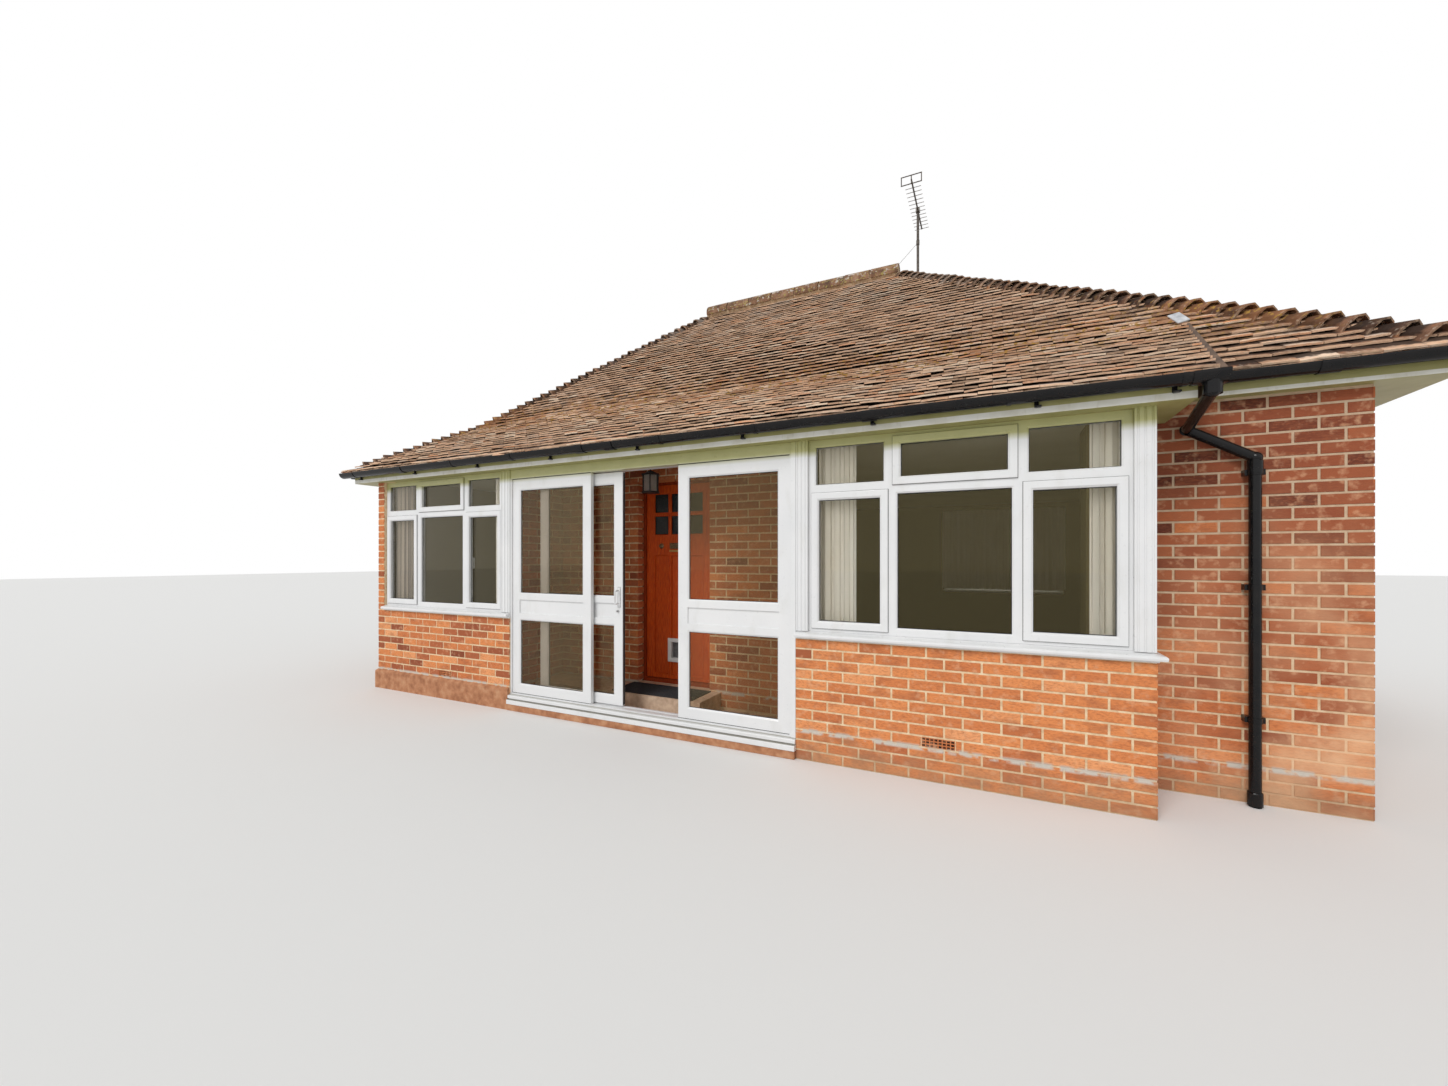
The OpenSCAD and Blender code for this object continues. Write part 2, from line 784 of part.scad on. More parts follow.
// The sliding panel runs on two rollers behind the left fixed panel.
module sliding_panel() {
    z0 = track_h + foot_gap;
    mid_y = slide_y + panel_t / 2;
    color("white") difference() {
        panel_frame(slide_x, slide_y, z0, panel_top);
        for (x = [roller_in, panel_w - roller_in])
            block([slide_x + x - roller_r - roller_gap, mid_y - roller_w / 2 - roller_gap, z0 - over],
                [slide_x + x + roller_r + roller_gap, mid_y + roller_w / 2 + roller_gap,
                track_h + rail_h + 2 * (roller_r + roller_gap)]);
    }
    color("silver") for (x = [roller_in, panel_w - roller_in]) {
        translate([slide_x + x, mid_y + roller_w / 2, track_h + rail_h + seat + roller_r])
            rotate([90, 0, 0]) cylinder(r = roller_r, h = roller_w);
        translate([slide_x + x, mid_y + roller_w / 2 + roller_gap, track_h + rail_h + seat + roller_r])
            rotate([90, 0, 0]) cylinder(r = roller_r / 3, h = roller_w + 2 * roller_gap);
    }
    color("white") difference() {
        block([slide_x + panel_w - handle_edge - handle_w, slide_y - handle_out, handle_z],
            [slide_x + panel_w - handle_edge, slide_y, handle_z + handle_h]);
        block([slide_x + panel_w - handle_edge - handle_w - over, slide_y - handle_out + handle_t,
            handle_z + handle_t], [slide_x + panel_w - handle_edge + over, slide_y + over,
            handle_z + handle_h - handle_t]);
    }
}

module sliding_panel_glass() {
    color("lightblue") panel_glass(slide_x, slide_y);
}

/* The front door */
leaf_x = door_x0 + door_frame_w + door_gap;
leaf_y = porch_y + door_back;
hinge_x = leaf_x + door_w + door_gap / 2;
hinge_out = 8;
hinge_y = leaf_y + door_t + hinge_out;
hinge_r = 7;
hinge_h = 100;
hinge_low = 150;
hinge_high = 180;
hinge_z = [door_z + hinge_low, door_z + (door_h - hinge_h) / 2, door_z + door_h - hinge_high - hinge_h];
hinge_gap = 3;
hinge_leaf_w = 30;
hinge_leaf_t = 3;
door_frame_out = 10;
leaf_stile = 90;
pane_cols = 3;
pane_rows = 2;
pane_bar = 22;
panes_z0 = 1731;
panes_z1 = 2160;
panels_z0 = 305;
panels_z1 = 1528;
panel_sink = 12;

// Frame with a threshold, and the lower and upper knuckles of its three hinges.
// The jamb is hollowed round the knuckles that turn with the door.
module front_door_frame() {
    y0 = leaf_y - door_frame_out;
    knuckle = hinge_h / 3;
    color("sienna") difference() {
        block([door_x0, y0, step_h], [door_x0 + doorway_w, y0 + door_frame_d, doorway_top]);
        block([leaf_x - door_gap, y0 - over, door_z - door_gap],
            [leaf_x + door_w + door_gap, y0 + door_frame_d + over, door_top + door_gap]);
        for (z = hinge_z) translate([hinge_x, hinge_y, z + knuckle])
            cylinder(r = hinge_r + hinge_gap, h = knuckle);
    }
    color("peru") for (z = hinge_z) for (part = [0, 2]) {
        translate([hinge_x, hinge_y, z + part * knuckle]) cylinder(r = hinge_r, h = knuckle);
        block([hinge_x, hinge_y - hinge_r, z + part * knuckle],
            [leaf_x + door_w + door_gap + seat, hinge_y, z + (part + 1) * knuckle]);
    }
}

pane_w = (door_w - 2 * leaf_stile - (pane_cols - 1) * pane_bar) / pane_cols;
pane_h = (panes_z1 - panes_z0 - (pane_rows - 1) * pane_bar) / pane_rows;
flap_border = 35;
flap_hole = flap_frame - 2 * flap_border;
flap_x = leaf_x + door_w / 2;
flap_gap = 5;

module door_panes(y0, y1) {
    for (i = [0 : pane_cols - 1]) for (j = [0 : pane_rows - 1])
        block([leaf_x + leaf_stile + i * (pane_w + pane_bar), y0, panes_z0 + j * (pane_h + pane_bar)],
            [leaf_x + leaf_stile + i * (pane_w + pane_bar) + pane_w, y1,
            panes_z0 + j * (pane_h + pane_bar) + pane_h]);
}

module front_door() {
    color("orangered") difference() {
        block([leaf_x, leaf_y, door_z], [leaf_x + door_w, leaf_y + door_t, door_top]);
        door_panes(leaf_y - over, leaf_y + door_t + over);
        for (i = [0 : pane_cols - 1])
            block([leaf_x + leaf_stile + i * (pane_w + pane_bar), leaf_y - over, panels_z0],
                [leaf_x + leaf_stile + i * (pane_w + pane_bar) + pane_w, leaf_y + panel_sink, panels_z1]);
        block([flap_x - flap_hole / 2, leaf_y - over, flap_z - flap_hole / 2],
            [flap_x + flap_hole / 2, leaf_y + door_t + over, flap_z + flap_hole / 2]);
    }
    color("peru") for (z = hinge_z) {
        translate([hinge_x, hinge_y, z + hinge_h / 3 + seat])
            cylinder(r = hinge_r, h = hinge_h / 3 - 2 * seat);
        block([leaf_x + door_w - hinge_leaf_w, leaf_y + door_t, z + hinge_h / 3 + seat],
            [hinge_x, leaf_y + door_t + hinge_leaf_t, z + 2 * hinge_h / 3 - seat]);
    }
}

module front_door_glass() {
    color("darkslategray") door_panes(leaf_y + (door_t - pane_t) / 2, leaf_y + (door_t + pane_t) / 2);
}

lock_r = 18;
lock_in = 179;
lock_z = 1620;
plate_w = 200;
plate_h = 60;
plate_z = 1590;
lock_out = 12;
plate_t = 8;
pull_out = 14;
pull_gap = 12;
pull_h = 20;

// A round lock, a letter plate and the pull below it.
module door_furniture() {
    color("dimgray") {
        translate([leaf_x + lock_in, leaf_y, lock_z]) rotate([90, 0, 0])
            cylinder(r = lock_r, h = lock_out);
        block([flap_x - plate_w / 2, leaf_y - plate_t, plate_z],
            [flap_x + plate_w / 2, leaf_y, plate_z + plate_h]);
        block([flap_x - plate_w / 2, leaf_y - pull_out, plate_z - pull_gap - pull_h],
            [flap_x + plate_w / 2, leaf_y, plate_z - pull_gap]);
    }
}

flap_pin_r = 3;
flap_pin_in = 12;
flap_pin_z = flap_z + flap_hole / 2 - flap_pin_in;
flap_wall = 8;
flap_rim = 10;

// A square frame through the door, with a socket at each side for the flap's pins.
module cat_flap_frame() {
    wall = flap_wall;
    color("white") difference() {
        union() {
            block([flap_x - flap_frame / 2, leaf_y - flap_rim, flap_z - flap_frame / 2],
                [flap_x + flap_frame / 2, leaf_y, flap_z + flap_frame / 2]);
            block([flap_x - flap_frame / 2, leaf_y + door_t, flap_z - flap_frame / 2],
                [flap_x + flap_frame / 2, leaf_y + door_t + flap_rim, flap_z + flap_frame / 2]);
            block([flap_x - flap_hole / 2, leaf_y, flap_z - flap_hole / 2],
                [flap_x + flap_hole / 2, leaf_y + door_t, flap_z + flap_hole / 2]);
        }
        block([flap_x - flap_hole / 2 + wall, leaf_y - flap_rim - over, flap_z - flap_hole / 2 + wall],
            [flap_x + flap_hole / 2 - wall, leaf_y + door_t + flap_rim + over,
            flap_z + flap_hole / 2 - wall / 4]);
        translate([flap_x - flap_hole / 2 + wall / 2, leaf_y + door_t / 2, flap_pin_z]) rotate([0, 90, 0])
            cylinder(r = flap_pin_r + seat, h = flap_hole - wall);
    }
}

module cat_flap() {
    wall = flap_wall;
    color("dimgray") {
        block([flap_x - flap_hole / 2 + wall + flap_gap, leaf_y + (door_t - flap_t) / 2,
            flap_z - flap_hole / 2 + wall + flap_gap],
            [flap_x + flap_hole / 2 - wall - flap_gap, leaf_y + (door_t + flap_t) / 2, flap_pin_z]);
        translate([flap_x - flap_hole / 2 + wall / 2 + seat, leaf_y + door_t / 2, flap_pin_z])
            rotate([0, 90, 0]) cylinder(r = flap_pin_r, h = flap_hole - wall - 2 * seat);
    }
}

/* Eaves boards and gutters */
// Fascia boards stand on edge around the roof, and soffit boards close the eaves under them.
module fascia_run(x0, y0, x1, y1, z) {
    color("white") block([x0, y0, z], [x1, y1, z + fascia_h]);
}

module eaves_boards() {
    fascia_run(fascia_x0, fascia_y, box_end_x, fascia_y + fascia_t, soffit_z);
    fascia_run(box_end_x - fascia_t, fascia_y + fascia_t, box_end_x, wing_y, soffit_z);
    fascia_run(fascia_x0, fascia_y + fascia_t, fascia_x0 + fascia_t, fascia_y1, soffit_z);
    fascia_run(box_end_x, fascia_wing_y, fascia_x1, fascia_wing_y + fascia_t, high_soffit_z);
    fascia_run(fascia_x1 - fascia_t, fascia_wing_y + fascia_t, fascia_x1, fascia_y1, high_soffit_z);
    difference() {
        fascia_run(fascia_x0 + fascia_t, fascia_y1 - fascia_t, fascia_x1 - fascia_t, fascia_y1,
            high_soffit_z);
        above_x(eave_x0, eave_low_z - tile_t - seat, m_left);
    }
    color("white") {
        block([left_x, fascia_y + fascia_t, soffit_z], [box_end_x - fascia_t, front_y, soffit_z + soffit_t]);
        block([left_x + wall_t, front_y, soffit_z], [proj_x, frame_y, soffit_z + soffit_t]);
        block([fascia_x0 + fascia_t, fascia_y + fascia_t, soffit_z],
            [left_x, fascia_y1 - fascia_t, soffit_z + soffit_t]);
        block([proj_x, front_y, soffit_z], [box_end_x - fascia_t, wing_y, soffit_z + soffit_t]);
        block([box_end_x, fascia_wing_y + fascia_t, high_soffit_z],
            [right_x, wing_y, high_soffit_z + soffit_t]);
        block([right_x, fascia_wing_y + fascia_t, high_soffit_z],
            [fascia_x1 - fascia_t, fascia_y1 - fascia_t, high_soffit_z + soffit_t]);
        block([left_x, rear_y, high_soffit_z], [right_x, fascia_y1 - fascia_t, high_soffit_z + soffit_t]);
    }
}

// A half-round gutter from p to q, level, with its back against the fascia and closed ends.
module gutter_run(p, q) {
    d = q - p;
    translate(p) rotate([0, 0, atan2(d.y, d.x)]) rotate([90, 0, 90]) difference() {
        linear_extrude(norm(d)) difference() {
            circle(gutter_r);
            translate([-2 * gutter_r, 0]) square([4 * gutter_r, 2 * gutter_r]);
        }
        translate([0, 0, gutter_t]) linear_extrude(norm(d) - 2 * gutter_t) circle(gutter_r - gutter_t);
    }
}

// The gutters' rims are under the tiles, and the rear one ends at the hip.
gutter_under = 5;
gutter_drop = tile_t + gutter_under;
rear_gutter_in = 30;
gutter_low_z = eave_low_z - gutter_drop;
gutter_high_z = eave_high_z - gutter_drop;
gutter_past = 60;

module gutters() {
    front_gy = fascia_y - gutter_r;
    wing_gy = fascia_wing_y - gutter_r;
    color("dimgray") {
        gutter_run([eave_x0 - gutter_past, front_gy, gutter_low_z],
            [verge_x0 + gutter_past, front_gy, gutter_low_z]);
        gutter_run([verge_x0 + gutter_past, wing_gy, gutter_high_z],
            [eave_x1 + gutter_past, wing_gy, gutter_high_z]);
        gutter_run([fascia_x0 - gutter_r, fascia_y1, gutter_low_z],
            [fascia_x0 - gutter_r, fascia_y, gutter_low_z]);
        gutter_run([fascia_x1 + gutter_r, fascia_wing_y, gutter_high_z],
            [fascia_x1 + gutter_r, fascia_y1, gutter_high_z]);
        gutter_run([fascia_x1, fascia_y1 + gutter_r, gutter_high_z],
            [hip_rear_x + rear_gutter_in, fascia_y1 + gutter_r, gutter_high_z]);
    }
}

// A round pipe through a list of points, with a wider round socket at each bend.
module pipe_path(points, r) {
    for (i = [0 : len(points) - 2]) {
        d = points[i + 1] - points[i];
        translate(points[i]) rotate([0, acos(d.z / norm(d)), atan2(d.y, d.x)]) cylinder(r = r, h = norm(d));
    }
    for (i = [1 : len(points) - 2]) translate(points[i]) sphere(r * socket_ratio);
}

socket_ratio = 1.2;
pipe_wall = 25;
// The pipe falls steeply beside the bay and then runs across the wing to its foot.
pipe_share = 0.524;
pipe_x = proj_x + (right_x - proj_x) * pipe_share;
outlet_past = 46;
outlet_x = box_end_x + outlet_past;
outlet_drop = 100;
elbow_past = 50;
elbow_drop = 65;
across_drop = 265;
clip_h = 35;
clip_w = 1.6 * pipe_r;
clip_share = [0.24, 0.62, 0.95];

module downpipe() {
    y = wing_y - pipe_wall - pipe_r;
    outlet_y = fascia_y - gutter_r;
    foot_z = soffit_z - across_drop;
    color("black") union() {
        pipe_path([[outlet_x, outlet_y, gutter_low_z - gutter_r],
            [outlet_x, outlet_y, gutter_low_z - outlet_drop],
            [outlet_x + elbow_past, y, soffit_z - elbow_drop], [pipe_x, y, foot_z], [pipe_x, y, 0]], pipe_r);
        for (share = clip_share)
            block([pipe_x - clip_w, y, share * foot_z], [pipe_x + clip_w, wing_y, share * foot_z + clip_h]);
    }
}

/* Fittings */
mast_past = 240;
mast_x = ridge_x1 + mast_past;
mast_foot = 200;
boom_r = 9;
boom_front = 640;
boom_back = 440;
boom_lift = 20;
elements = 13;
element_r = 4;
element_w = 180;
grid_w = 240;
grid_h = 100;
grid_r = 6;

// A mast beside the ridge with a boom along Y that carries short cross rods and a grid at its front.
module aerial() {
    boom_z = ridge_z + mast_h - boom_lift;
    spacing = (boom_front + boom_back) / elements;
    boom_y0 = ridge_y - boom_front;
    color("silver") union() {
        difference() {
            translate([mast_x, ridge_y, ridge_z - mast_foot]) cylinder(r = mast_r, h = mast_h + mast_foot);
            under_tiles();
        }
        translate([mast_x, boom_y0, boom_z]) {
            rotate([-90, 0, 0]) cylinder(r = boom_r, h = boom_front + boom_back);
            for (i = [1 : elements]) translate([-element_w / 2, i * spacing - element_r, 0])
                rotate([0, 90, 0]) cylinder(r = element_r, h = element_w);
            for (z = [-1, 1]) translate([-grid_w / 2, 0, z * grid_h / 2])
                rotate([0, 90, 0]) cylinder(r = grid_r, h = grid_w);
            for (x = [-1, 0, 1]) translate([x * (grid_w / 2 - grid_r), 0, -grid_h / 2])
                cylinder(r = grid_r, h = grid_h);
        }
    }
}

lantern_back = 480;
lantern_side = 80;
lantern_x = door_x0 + doorway_w / 2 - lantern_side;
lantern_y = front_y + lantern_back;
lantern_r = 95;
lantern_h = 180;
lantern_drop = 100;
lantern_cap = 40;
lantern_rod = 8;
lantern_bar = 12;

// A six-sided lantern, open between its corner bars, hung from the porch's ceiling.
module porch_lantern() {
    color("black") translate([lantern_x, lantern_y, ceiling_z - lantern_drop - lantern_h]) {
        cylinder(r = lantern_r, h = lantern_bar, $fn = 6);
        translate([0, 0, lantern_h - lantern_bar]) cylinder(r = lantern_r, h = lantern_bar, $fn = 6);
        for (a = [0 : 60 : 300]) rotate(a) translate([lantern_r - 2 * lantern_bar, -lantern_bar / 2, 0])
            cube([lantern_bar, lantern_bar, lantern_h - lantern_bar / 2]);
        translate([0, 0, lantern_h - lantern_bar / 2])
            cylinder(r1 = lantern_r - lantern_bar / 2, r2 = 2 * lantern_rod, h = lantern_cap);
        translate([0, 0, lantern_h]) cylinder(r = lantern_rod, h = lantern_drop);
    }
}

light_out = 60;
light_back = 250;
light_z = 2000;
light_base = [60, 90, 110];
light_head = [60, 130, 90];
light_drop = 20;

module security_light() {
    color("whitesmoke") translate([left_x - light_out, front_y + light_back, light_z]) {
        cube(light_base);
        translate([-light_head.x, -light_drop, -light_drop]) cube(light_head);
    }
}

// Curtains hang inside both front windows, drawn back to the sides, and close the rear windows.
curtain_t = 60;
curtain_back = 10;
left_curtain_w = [350, 220];
right_curtain_w = [290, 205];
curtain_lift = 20;
curtain_z0 = sill_top + curtain_lift;
curtain_side = 10;

module curtains() {
    y = frame_y1 + curtain_back;
    left_end = left_window_x + left_window_w;
    right_end = right_window_x + right_window_w;
    color("linen") for (place = [[left_window_x + curtain_side, left_curtain_w[0]],
        [left_end - left_curtain_w[1], left_curtain_w[1]], [right_window_x + frame_w, right_curtain_w[0]],
        [right_end - right_curtain_w[1], right_curtain_w[1]]])
        block([place[0], y, curtain_z0], [place[0] + place[1], y + curtain_t, soffit_z - seat]);
    rear_z1 = soffit_z - bar_w + curtain_lift;
    color("linen") for (x = rear_window_x)
        block([x - curtain_side, rear_y - wall_t - curtain_t, curtain_z0],
            [x + rear_window_w + curtain_side, rear_y - wall_t - seat, rear_z1]);
}

floor_slab();
left_bay_wall();
right_bay_wall();
left_side_wall();
right_side_wall();
wing_front_wall();
rear_wall();
porch_rear_wall_left();
porch_rear_wall_right();
porch_side_walls();
lintels();
ceiling();
porch_step();
door_mat();
window_sills();
moulded_posts();
left_window_frame();
right_window_frame();
rear_window_frames();
window_glass();
screen_frame();
fixed_panels();
fixed_panel_glass();
sliding_panel();
sliding_panel_glass();
front_door_frame();
front_door();
front_door_glass();
door_furniture();
cat_flap_frame();
cat_flap();
main_front_slope();
lower_front_slope();
left_slope();
right_slope();
rear_slope();
ridge_tiles();
hip_tiles();
eaves_boards();
gutters();
downpipe();
aerial();
porch_lantern();
security_light();
curtains();
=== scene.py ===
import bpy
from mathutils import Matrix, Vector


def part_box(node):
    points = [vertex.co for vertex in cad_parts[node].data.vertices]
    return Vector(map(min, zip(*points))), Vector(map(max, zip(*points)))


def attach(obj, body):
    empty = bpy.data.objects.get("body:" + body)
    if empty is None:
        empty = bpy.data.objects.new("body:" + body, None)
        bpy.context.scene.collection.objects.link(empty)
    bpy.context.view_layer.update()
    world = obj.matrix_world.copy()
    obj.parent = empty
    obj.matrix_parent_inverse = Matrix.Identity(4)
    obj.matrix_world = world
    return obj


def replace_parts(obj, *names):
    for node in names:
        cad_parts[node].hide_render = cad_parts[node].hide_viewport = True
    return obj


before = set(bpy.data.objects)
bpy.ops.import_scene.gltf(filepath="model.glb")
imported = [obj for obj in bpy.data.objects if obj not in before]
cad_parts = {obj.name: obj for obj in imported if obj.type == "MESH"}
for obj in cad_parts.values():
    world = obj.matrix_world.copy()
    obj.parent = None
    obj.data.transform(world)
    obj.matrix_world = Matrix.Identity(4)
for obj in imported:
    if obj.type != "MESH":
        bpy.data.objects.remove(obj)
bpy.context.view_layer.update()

import math
import random

import bmesh
import bpy
from mathutils import Matrix, Vector

scene = bpy.context.scene

# The viewpoint stands before the right bay, level, and turned towards the porch.
# It has a very wide lens, with the picture shifted a little instead of a tilt.
viewpoint = bpy.data.cameras.new("viewpoint")
viewpoint.sensor_width = 36.0
viewpoint.lens = 13.42
viewpoint.shift_y = 0.0104
viewpoint.clip_end = 200.0
camera = bpy.data.objects.new("viewpoint", viewpoint)
camera.location = (2.221, -7.126, 1.496)
camera.rotation_euler = (math.radians(90), 0, math.radians(26.36))
scene.collection.objects.link(camera)
scene.camera = camera

# The studio is a plain pale floor under an even white sky, with one broad soft lamp
# from the front. The sky is plain white to the lens, to glass and to polished faces.
ground = bmesh.new()
bmesh.ops.create_grid(ground, x_segments=1, y_segments=1, size=60)
ground_mesh = bpy.data.meshes.new("studio_floor")
ground.to_mesh(ground_mesh)
ground.free()
floor = bpy.data.objects.new("studio_floor", ground_mesh)
scene.collection.objects.link(floor)
floor_paint = bpy.data.materials.new("studio_floor")
floor_paint.use_nodes = True
floor_shader = floor_paint.node_tree.nodes["Principled BSDF"]
floor_shader.inputs["Base Color"].default_value = (0.8, 0.8, 0.79, 1)
floor_shader.inputs["Roughness"].default_value = 0.9
ground_mesh.materials.append(floor_paint)

sky = bpy.data.worlds.new("studio_sky")
scene.world = sky
sky.use_nodes = True
sky_nodes = sky.node_tree.nodes
sky_links = sky.node_tree.links
sky_light = sky_nodes["Background"]
sky_light.inputs["Color"].default_value = (1, 1, 1, 1)
ray = sky_nodes.new("ShaderNodeLightPath")
clear = ray.outputs["Is Camera Ray"]
for kind in ("Is Glossy Ray", "Is Transmission Ray"):
    either = sky_nodes.new("ShaderNodeMath")
    either.operation = "MAXIMUM"
    sky_links.new(clear, either.inputs[0])
    sky_links.new(ray.outputs[kind], either.inputs[1])
    clear = either.outputs[0]
level = sky_nodes.new("ShaderNodeMapRange")
level.inputs["To Min"].default_value = 0.62
level.inputs["To Max"].default_value = 1.0
sky_links.new(clear, level.inputs["Value"])
sky_links.new(level.outputs[0], sky_light.inputs["Strength"])

lamp = bpy.data.lights.new("soft_lamp", "SUN")
lamp.energy = 1.5
lamp.angle = math.radians(25)
soft_lamp = bpy.data.objects.new("soft_lamp", lamp)
soft_lamp.rotation_euler = (math.radians(48), 0, math.radians(-14))
scene.collection.objects.link(soft_lamp)
scene.view_settings.view_transform = "Standard"

# Facing bricks of fired clay, laid in stretcher bond in courses of 75 mm, a hair proud
# of the pale mortar. Each brick has its own shade, and corners share theirs across both faces.
left, right, front, rear = -4.165, 4.165, -3.28, 3.28
bay_right, wing_face = 3.065, -2.745
porch_left, porch_right, porch_rear = -2.055, 0.913, -2.53
sill_under, low_soffit, high_soffit = 0.9, 2.365, 2.485
course, joint, stretcher, proud = 0.075, 0.0135, 0.225, 0.004
least_wide, least_high = 0.018, 0.015
bedded, uneven, crooked, arris = 0.004, 0.0012, 0.006, 0.0022


def finish(name, roughness, also=None):
    """A new material of this roughness. Also is what other sockets of its shader are set to."""
    material = bpy.data.materials.new(name)
    material.use_nodes = True
    tree = material.node_tree
    shader = tree.nodes["Principled BSDF"]
    for socket, value in {"Roughness": roughness, **(also or {})}.items():
        shader.inputs[socket].default_value = value
    return material, tree, shader


def place(tree, stretch=(1, 1, 1)):
    """Where on the piece the shader is, stretched along the axes."""
    spot = tree.nodes.new("ShaderNodeTexCoord")
    mapping = tree.nodes.new("ShaderNodeMapping")
    mapping.inputs["Scale"].default_value = stretch
    tree.links.new(spot.outputs["Object"], mapping.inputs["Vector"])
    return mapping.outputs["Vector"]


def axes(tree):
    """The same as separate values, by the names X, Y and Z."""
    split = tree.nodes.new("ShaderNodeSeparateXYZ")
    tree.links.new(place(tree), split.inputs[0])
    return split.outputs


def mottle(tree, scale, detail=4.0, stretch=(1, 1, 1)):
    """Cloudy variation with cells of 1/scale metres."""
    noise = tree.nodes.new("ShaderNodeTexNoise")
    noise.inputs["Scale"].default_value = scale
    noise.inputs["Detail"].default_value = detail
    tree.links.new(place(tree, stretch), noise.inputs["Vector"])
    return noise.outputs[0]


def shades(tree, source, stops):
    """A run of colours over a value from 0 to 1."""
    ramp = tree.nodes.new("ShaderNodeValToRGB")
    band = ramp.color_ramp
    while len(band.elements) < len(stops):
        band.elements.new(0.5)
    for element, (where, colour) in zip(band.elements, stops):
        element.position = where
        element.color = (*colour, 1)
    tree.links.new(source, ramp.inputs["Fac"])
    return ramp.outputs["Color"]


def window_of(tree, source, low, high, to_low=0.0, to_high=1.0):
    """A value that goes from to_low to to_high as the source goes from low to high."""
    span = tree.nodes.new("ShaderNodeMapRange")
    limits = {"From Min": low, "From Max": high, "To Min": to_low, "To Max": to_high}
    for socket, value in limits.items():
        span.inputs[socket].default_value = value
    tree.links.new(source, span.inputs["Value"])
    return span.outputs[0]


def past(tree, source, edge, before=0.0, beyond=1.0):
    """A value that changes within a millimetre of the edge."""
    return window_of(tree, source, edge, edge + 0.001, before, beyond)


def combine(tree, a, b, operation="MULTIPLY"):
    """Arithmetic on two values, either of which may be a number."""
    result = tree.nodes.new("ShaderNodeMath")
    result.operation = operation
    for socket, value in ((result.inputs[0], a), (result.inputs[1], b)):
        if isinstance(value, (int, float)):
            socket.default_value = value
        else:
            tree.links.new(value, socket)
    return result.outputs[0]


def layer(tree, amount, under, over):
    """One colour over another, as far as the amount says."""
    mix = tree.nodes.new("ShaderNodeMix")
    mix.data_type = "RGBA"
    for socket, value in ((mix.inputs[0], amount), (mix.inputs[6], under), (mix.inputs[7], over)):
        if isinstance(value, tuple):
            socket.default_value = (*value, 1)
        else:
            tree.links.new(value, socket)
    return mix.outputs[2]


def tint_where(tree, under, value, low, high, amount, colour):
    """A colour over the one under it, for stains and for the tiles' painted shadow. It starts where its
    value passes low, and reaches its amount at high.
    """
    return layer(tree, window_of(tree, value, low, high, 0.0, amount), under, colour)


def relief(tree, shader, height, distance, strength=1.0):
    """Bumps of this height, in metres, over the shader's face."""
    bump = tree.nodes.new("ShaderNodeBump")
    bump.inputs["Distance"].default_value = distance
    bump.inputs["Strength"].default_value = strength
    tree.links.new(height, bump.inputs["Height"])
    tree.links.new(bump.outputs["Normal"], shader.inputs["Normal"])


def own_value(tree, name):
    """A value that the mesh keeps for each of its faces or points."""
    kept = tree.nodes.new("ShaderNodeAttribute")
    kept.attribute_name = name
    return kept.outputs["Fac"]


def piece(name, shape, material, body="house"):
    """The finished mesh as an object at the origin that rides on a body."""
    mesh = bpy.data.meshes.new(name)
    shape.to_mesh(mesh)
    shape.free()
    mesh.materials.append(material)
    made = bpy.data.objects.new(name, mesh)
    scene.collection.objects.link(made)
    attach(made, body)
    return made


def repaint(node, material):
    """The CAD node keeps its shape and takes this finish."""
    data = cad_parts[node].data
    data.materials.clear()
    data.materials.append(material)


brick, tree, shader = finish("facing_brick", 0.9, {"Specular IOR Level": 0.15})
# The lowest stop, near black, is painted shade for the air bricks' slots.
clay = shades(tree, own_value(tree, "shade"), [
    (0.0, (0.012, 0.007, 0.005)), (0.05, (0.14, 0.042, 0.026)), (0.2, (0.30, 0.085, 0.042)),
    (0.36, (0.46, 0.14, 0.060)), (0.52, (0.66, 0.22, 0.080)), (0.68, (0.78, 0.29, 0.105)),
    (0.82, (0.85, 0.37, 0.16)), (1.0, (0.88, 0.48, 0.27))])
smoke = mottle(tree, 6, 6, (1, 1, 2.4))
clay = tint_where(tree, clay, smoke, 0.52, 0.68, 0.5, (0.34, 0.12, 0.06))
drag = mottle(tree, 45, 7, (1, 1, 2.6))
clay = tint_where(tree, clay, drag, 0.45, 0.72, 0.55, (0.36, 0.11, 0.05))
pale = mottle(tree, 22, 6)
clay = tint_where(tree, clay, pale, 0.54, 0.74, 0.5, (0.80, 0.46, 0.27))
grit = mottle(tree, 420, 3)
clay = tint_where(tree, clay, grit, 0.60, 0.70, 0.5, (0.16, 0.06, 0.03))


def bloom(tree, under):
    """Salts on the foot of the wing, splashed earth along the ground, and a smear of pale dirt
    along the damp course."""
    spot = axes(tree)
    on_wing = window_of(tree, spot["X"], 3.2, 3.9, 0.25, 1.0)
    low_down = window_of(tree, spot["Z"], 0.3, 2.0, 0.95, 0.0)
    salts = combine(tree, combine(tree, on_wing, low_down), window_of(tree, mottle(tree, 2.4, 6), 0.36, 0.62))
    salts = combine(tree, salts, past(tree, spot["X"], bay_right + 0.001))
    under = layer(tree, salts, under, (0.80, 0.48, 0.28))
    ragged = combine(tree, spot["Z"], window_of(tree, mottle(tree, 7, 4), 0.3, 0.7, -0.1, 0.1), "ADD")
    under = layer(tree, window_of(tree, ragged, 0.0, 0.24, 0.55, 0.0), under, (0.36, 0.22, 0.13))
    line = combine(tree, window_of(tree, spot["Z"], 0.196, 0.21),
                   window_of(tree, spot["Z"], 0.228, 0.246, 1.0, 0.0))
    smear = combine(tree, line, window_of(tree, mottle(tree, 16, 6), 0.42, 0.56))
    return layer(tree, smear, under, (0.60, 0.55, 0.48))


tree.links.new(bloom(tree, clay), shader.inputs["Base Color"])
relief(tree, shader, combine(tree, drag, combine(tree, grit, 0.4), "ADD"), 0.003, 0.9)

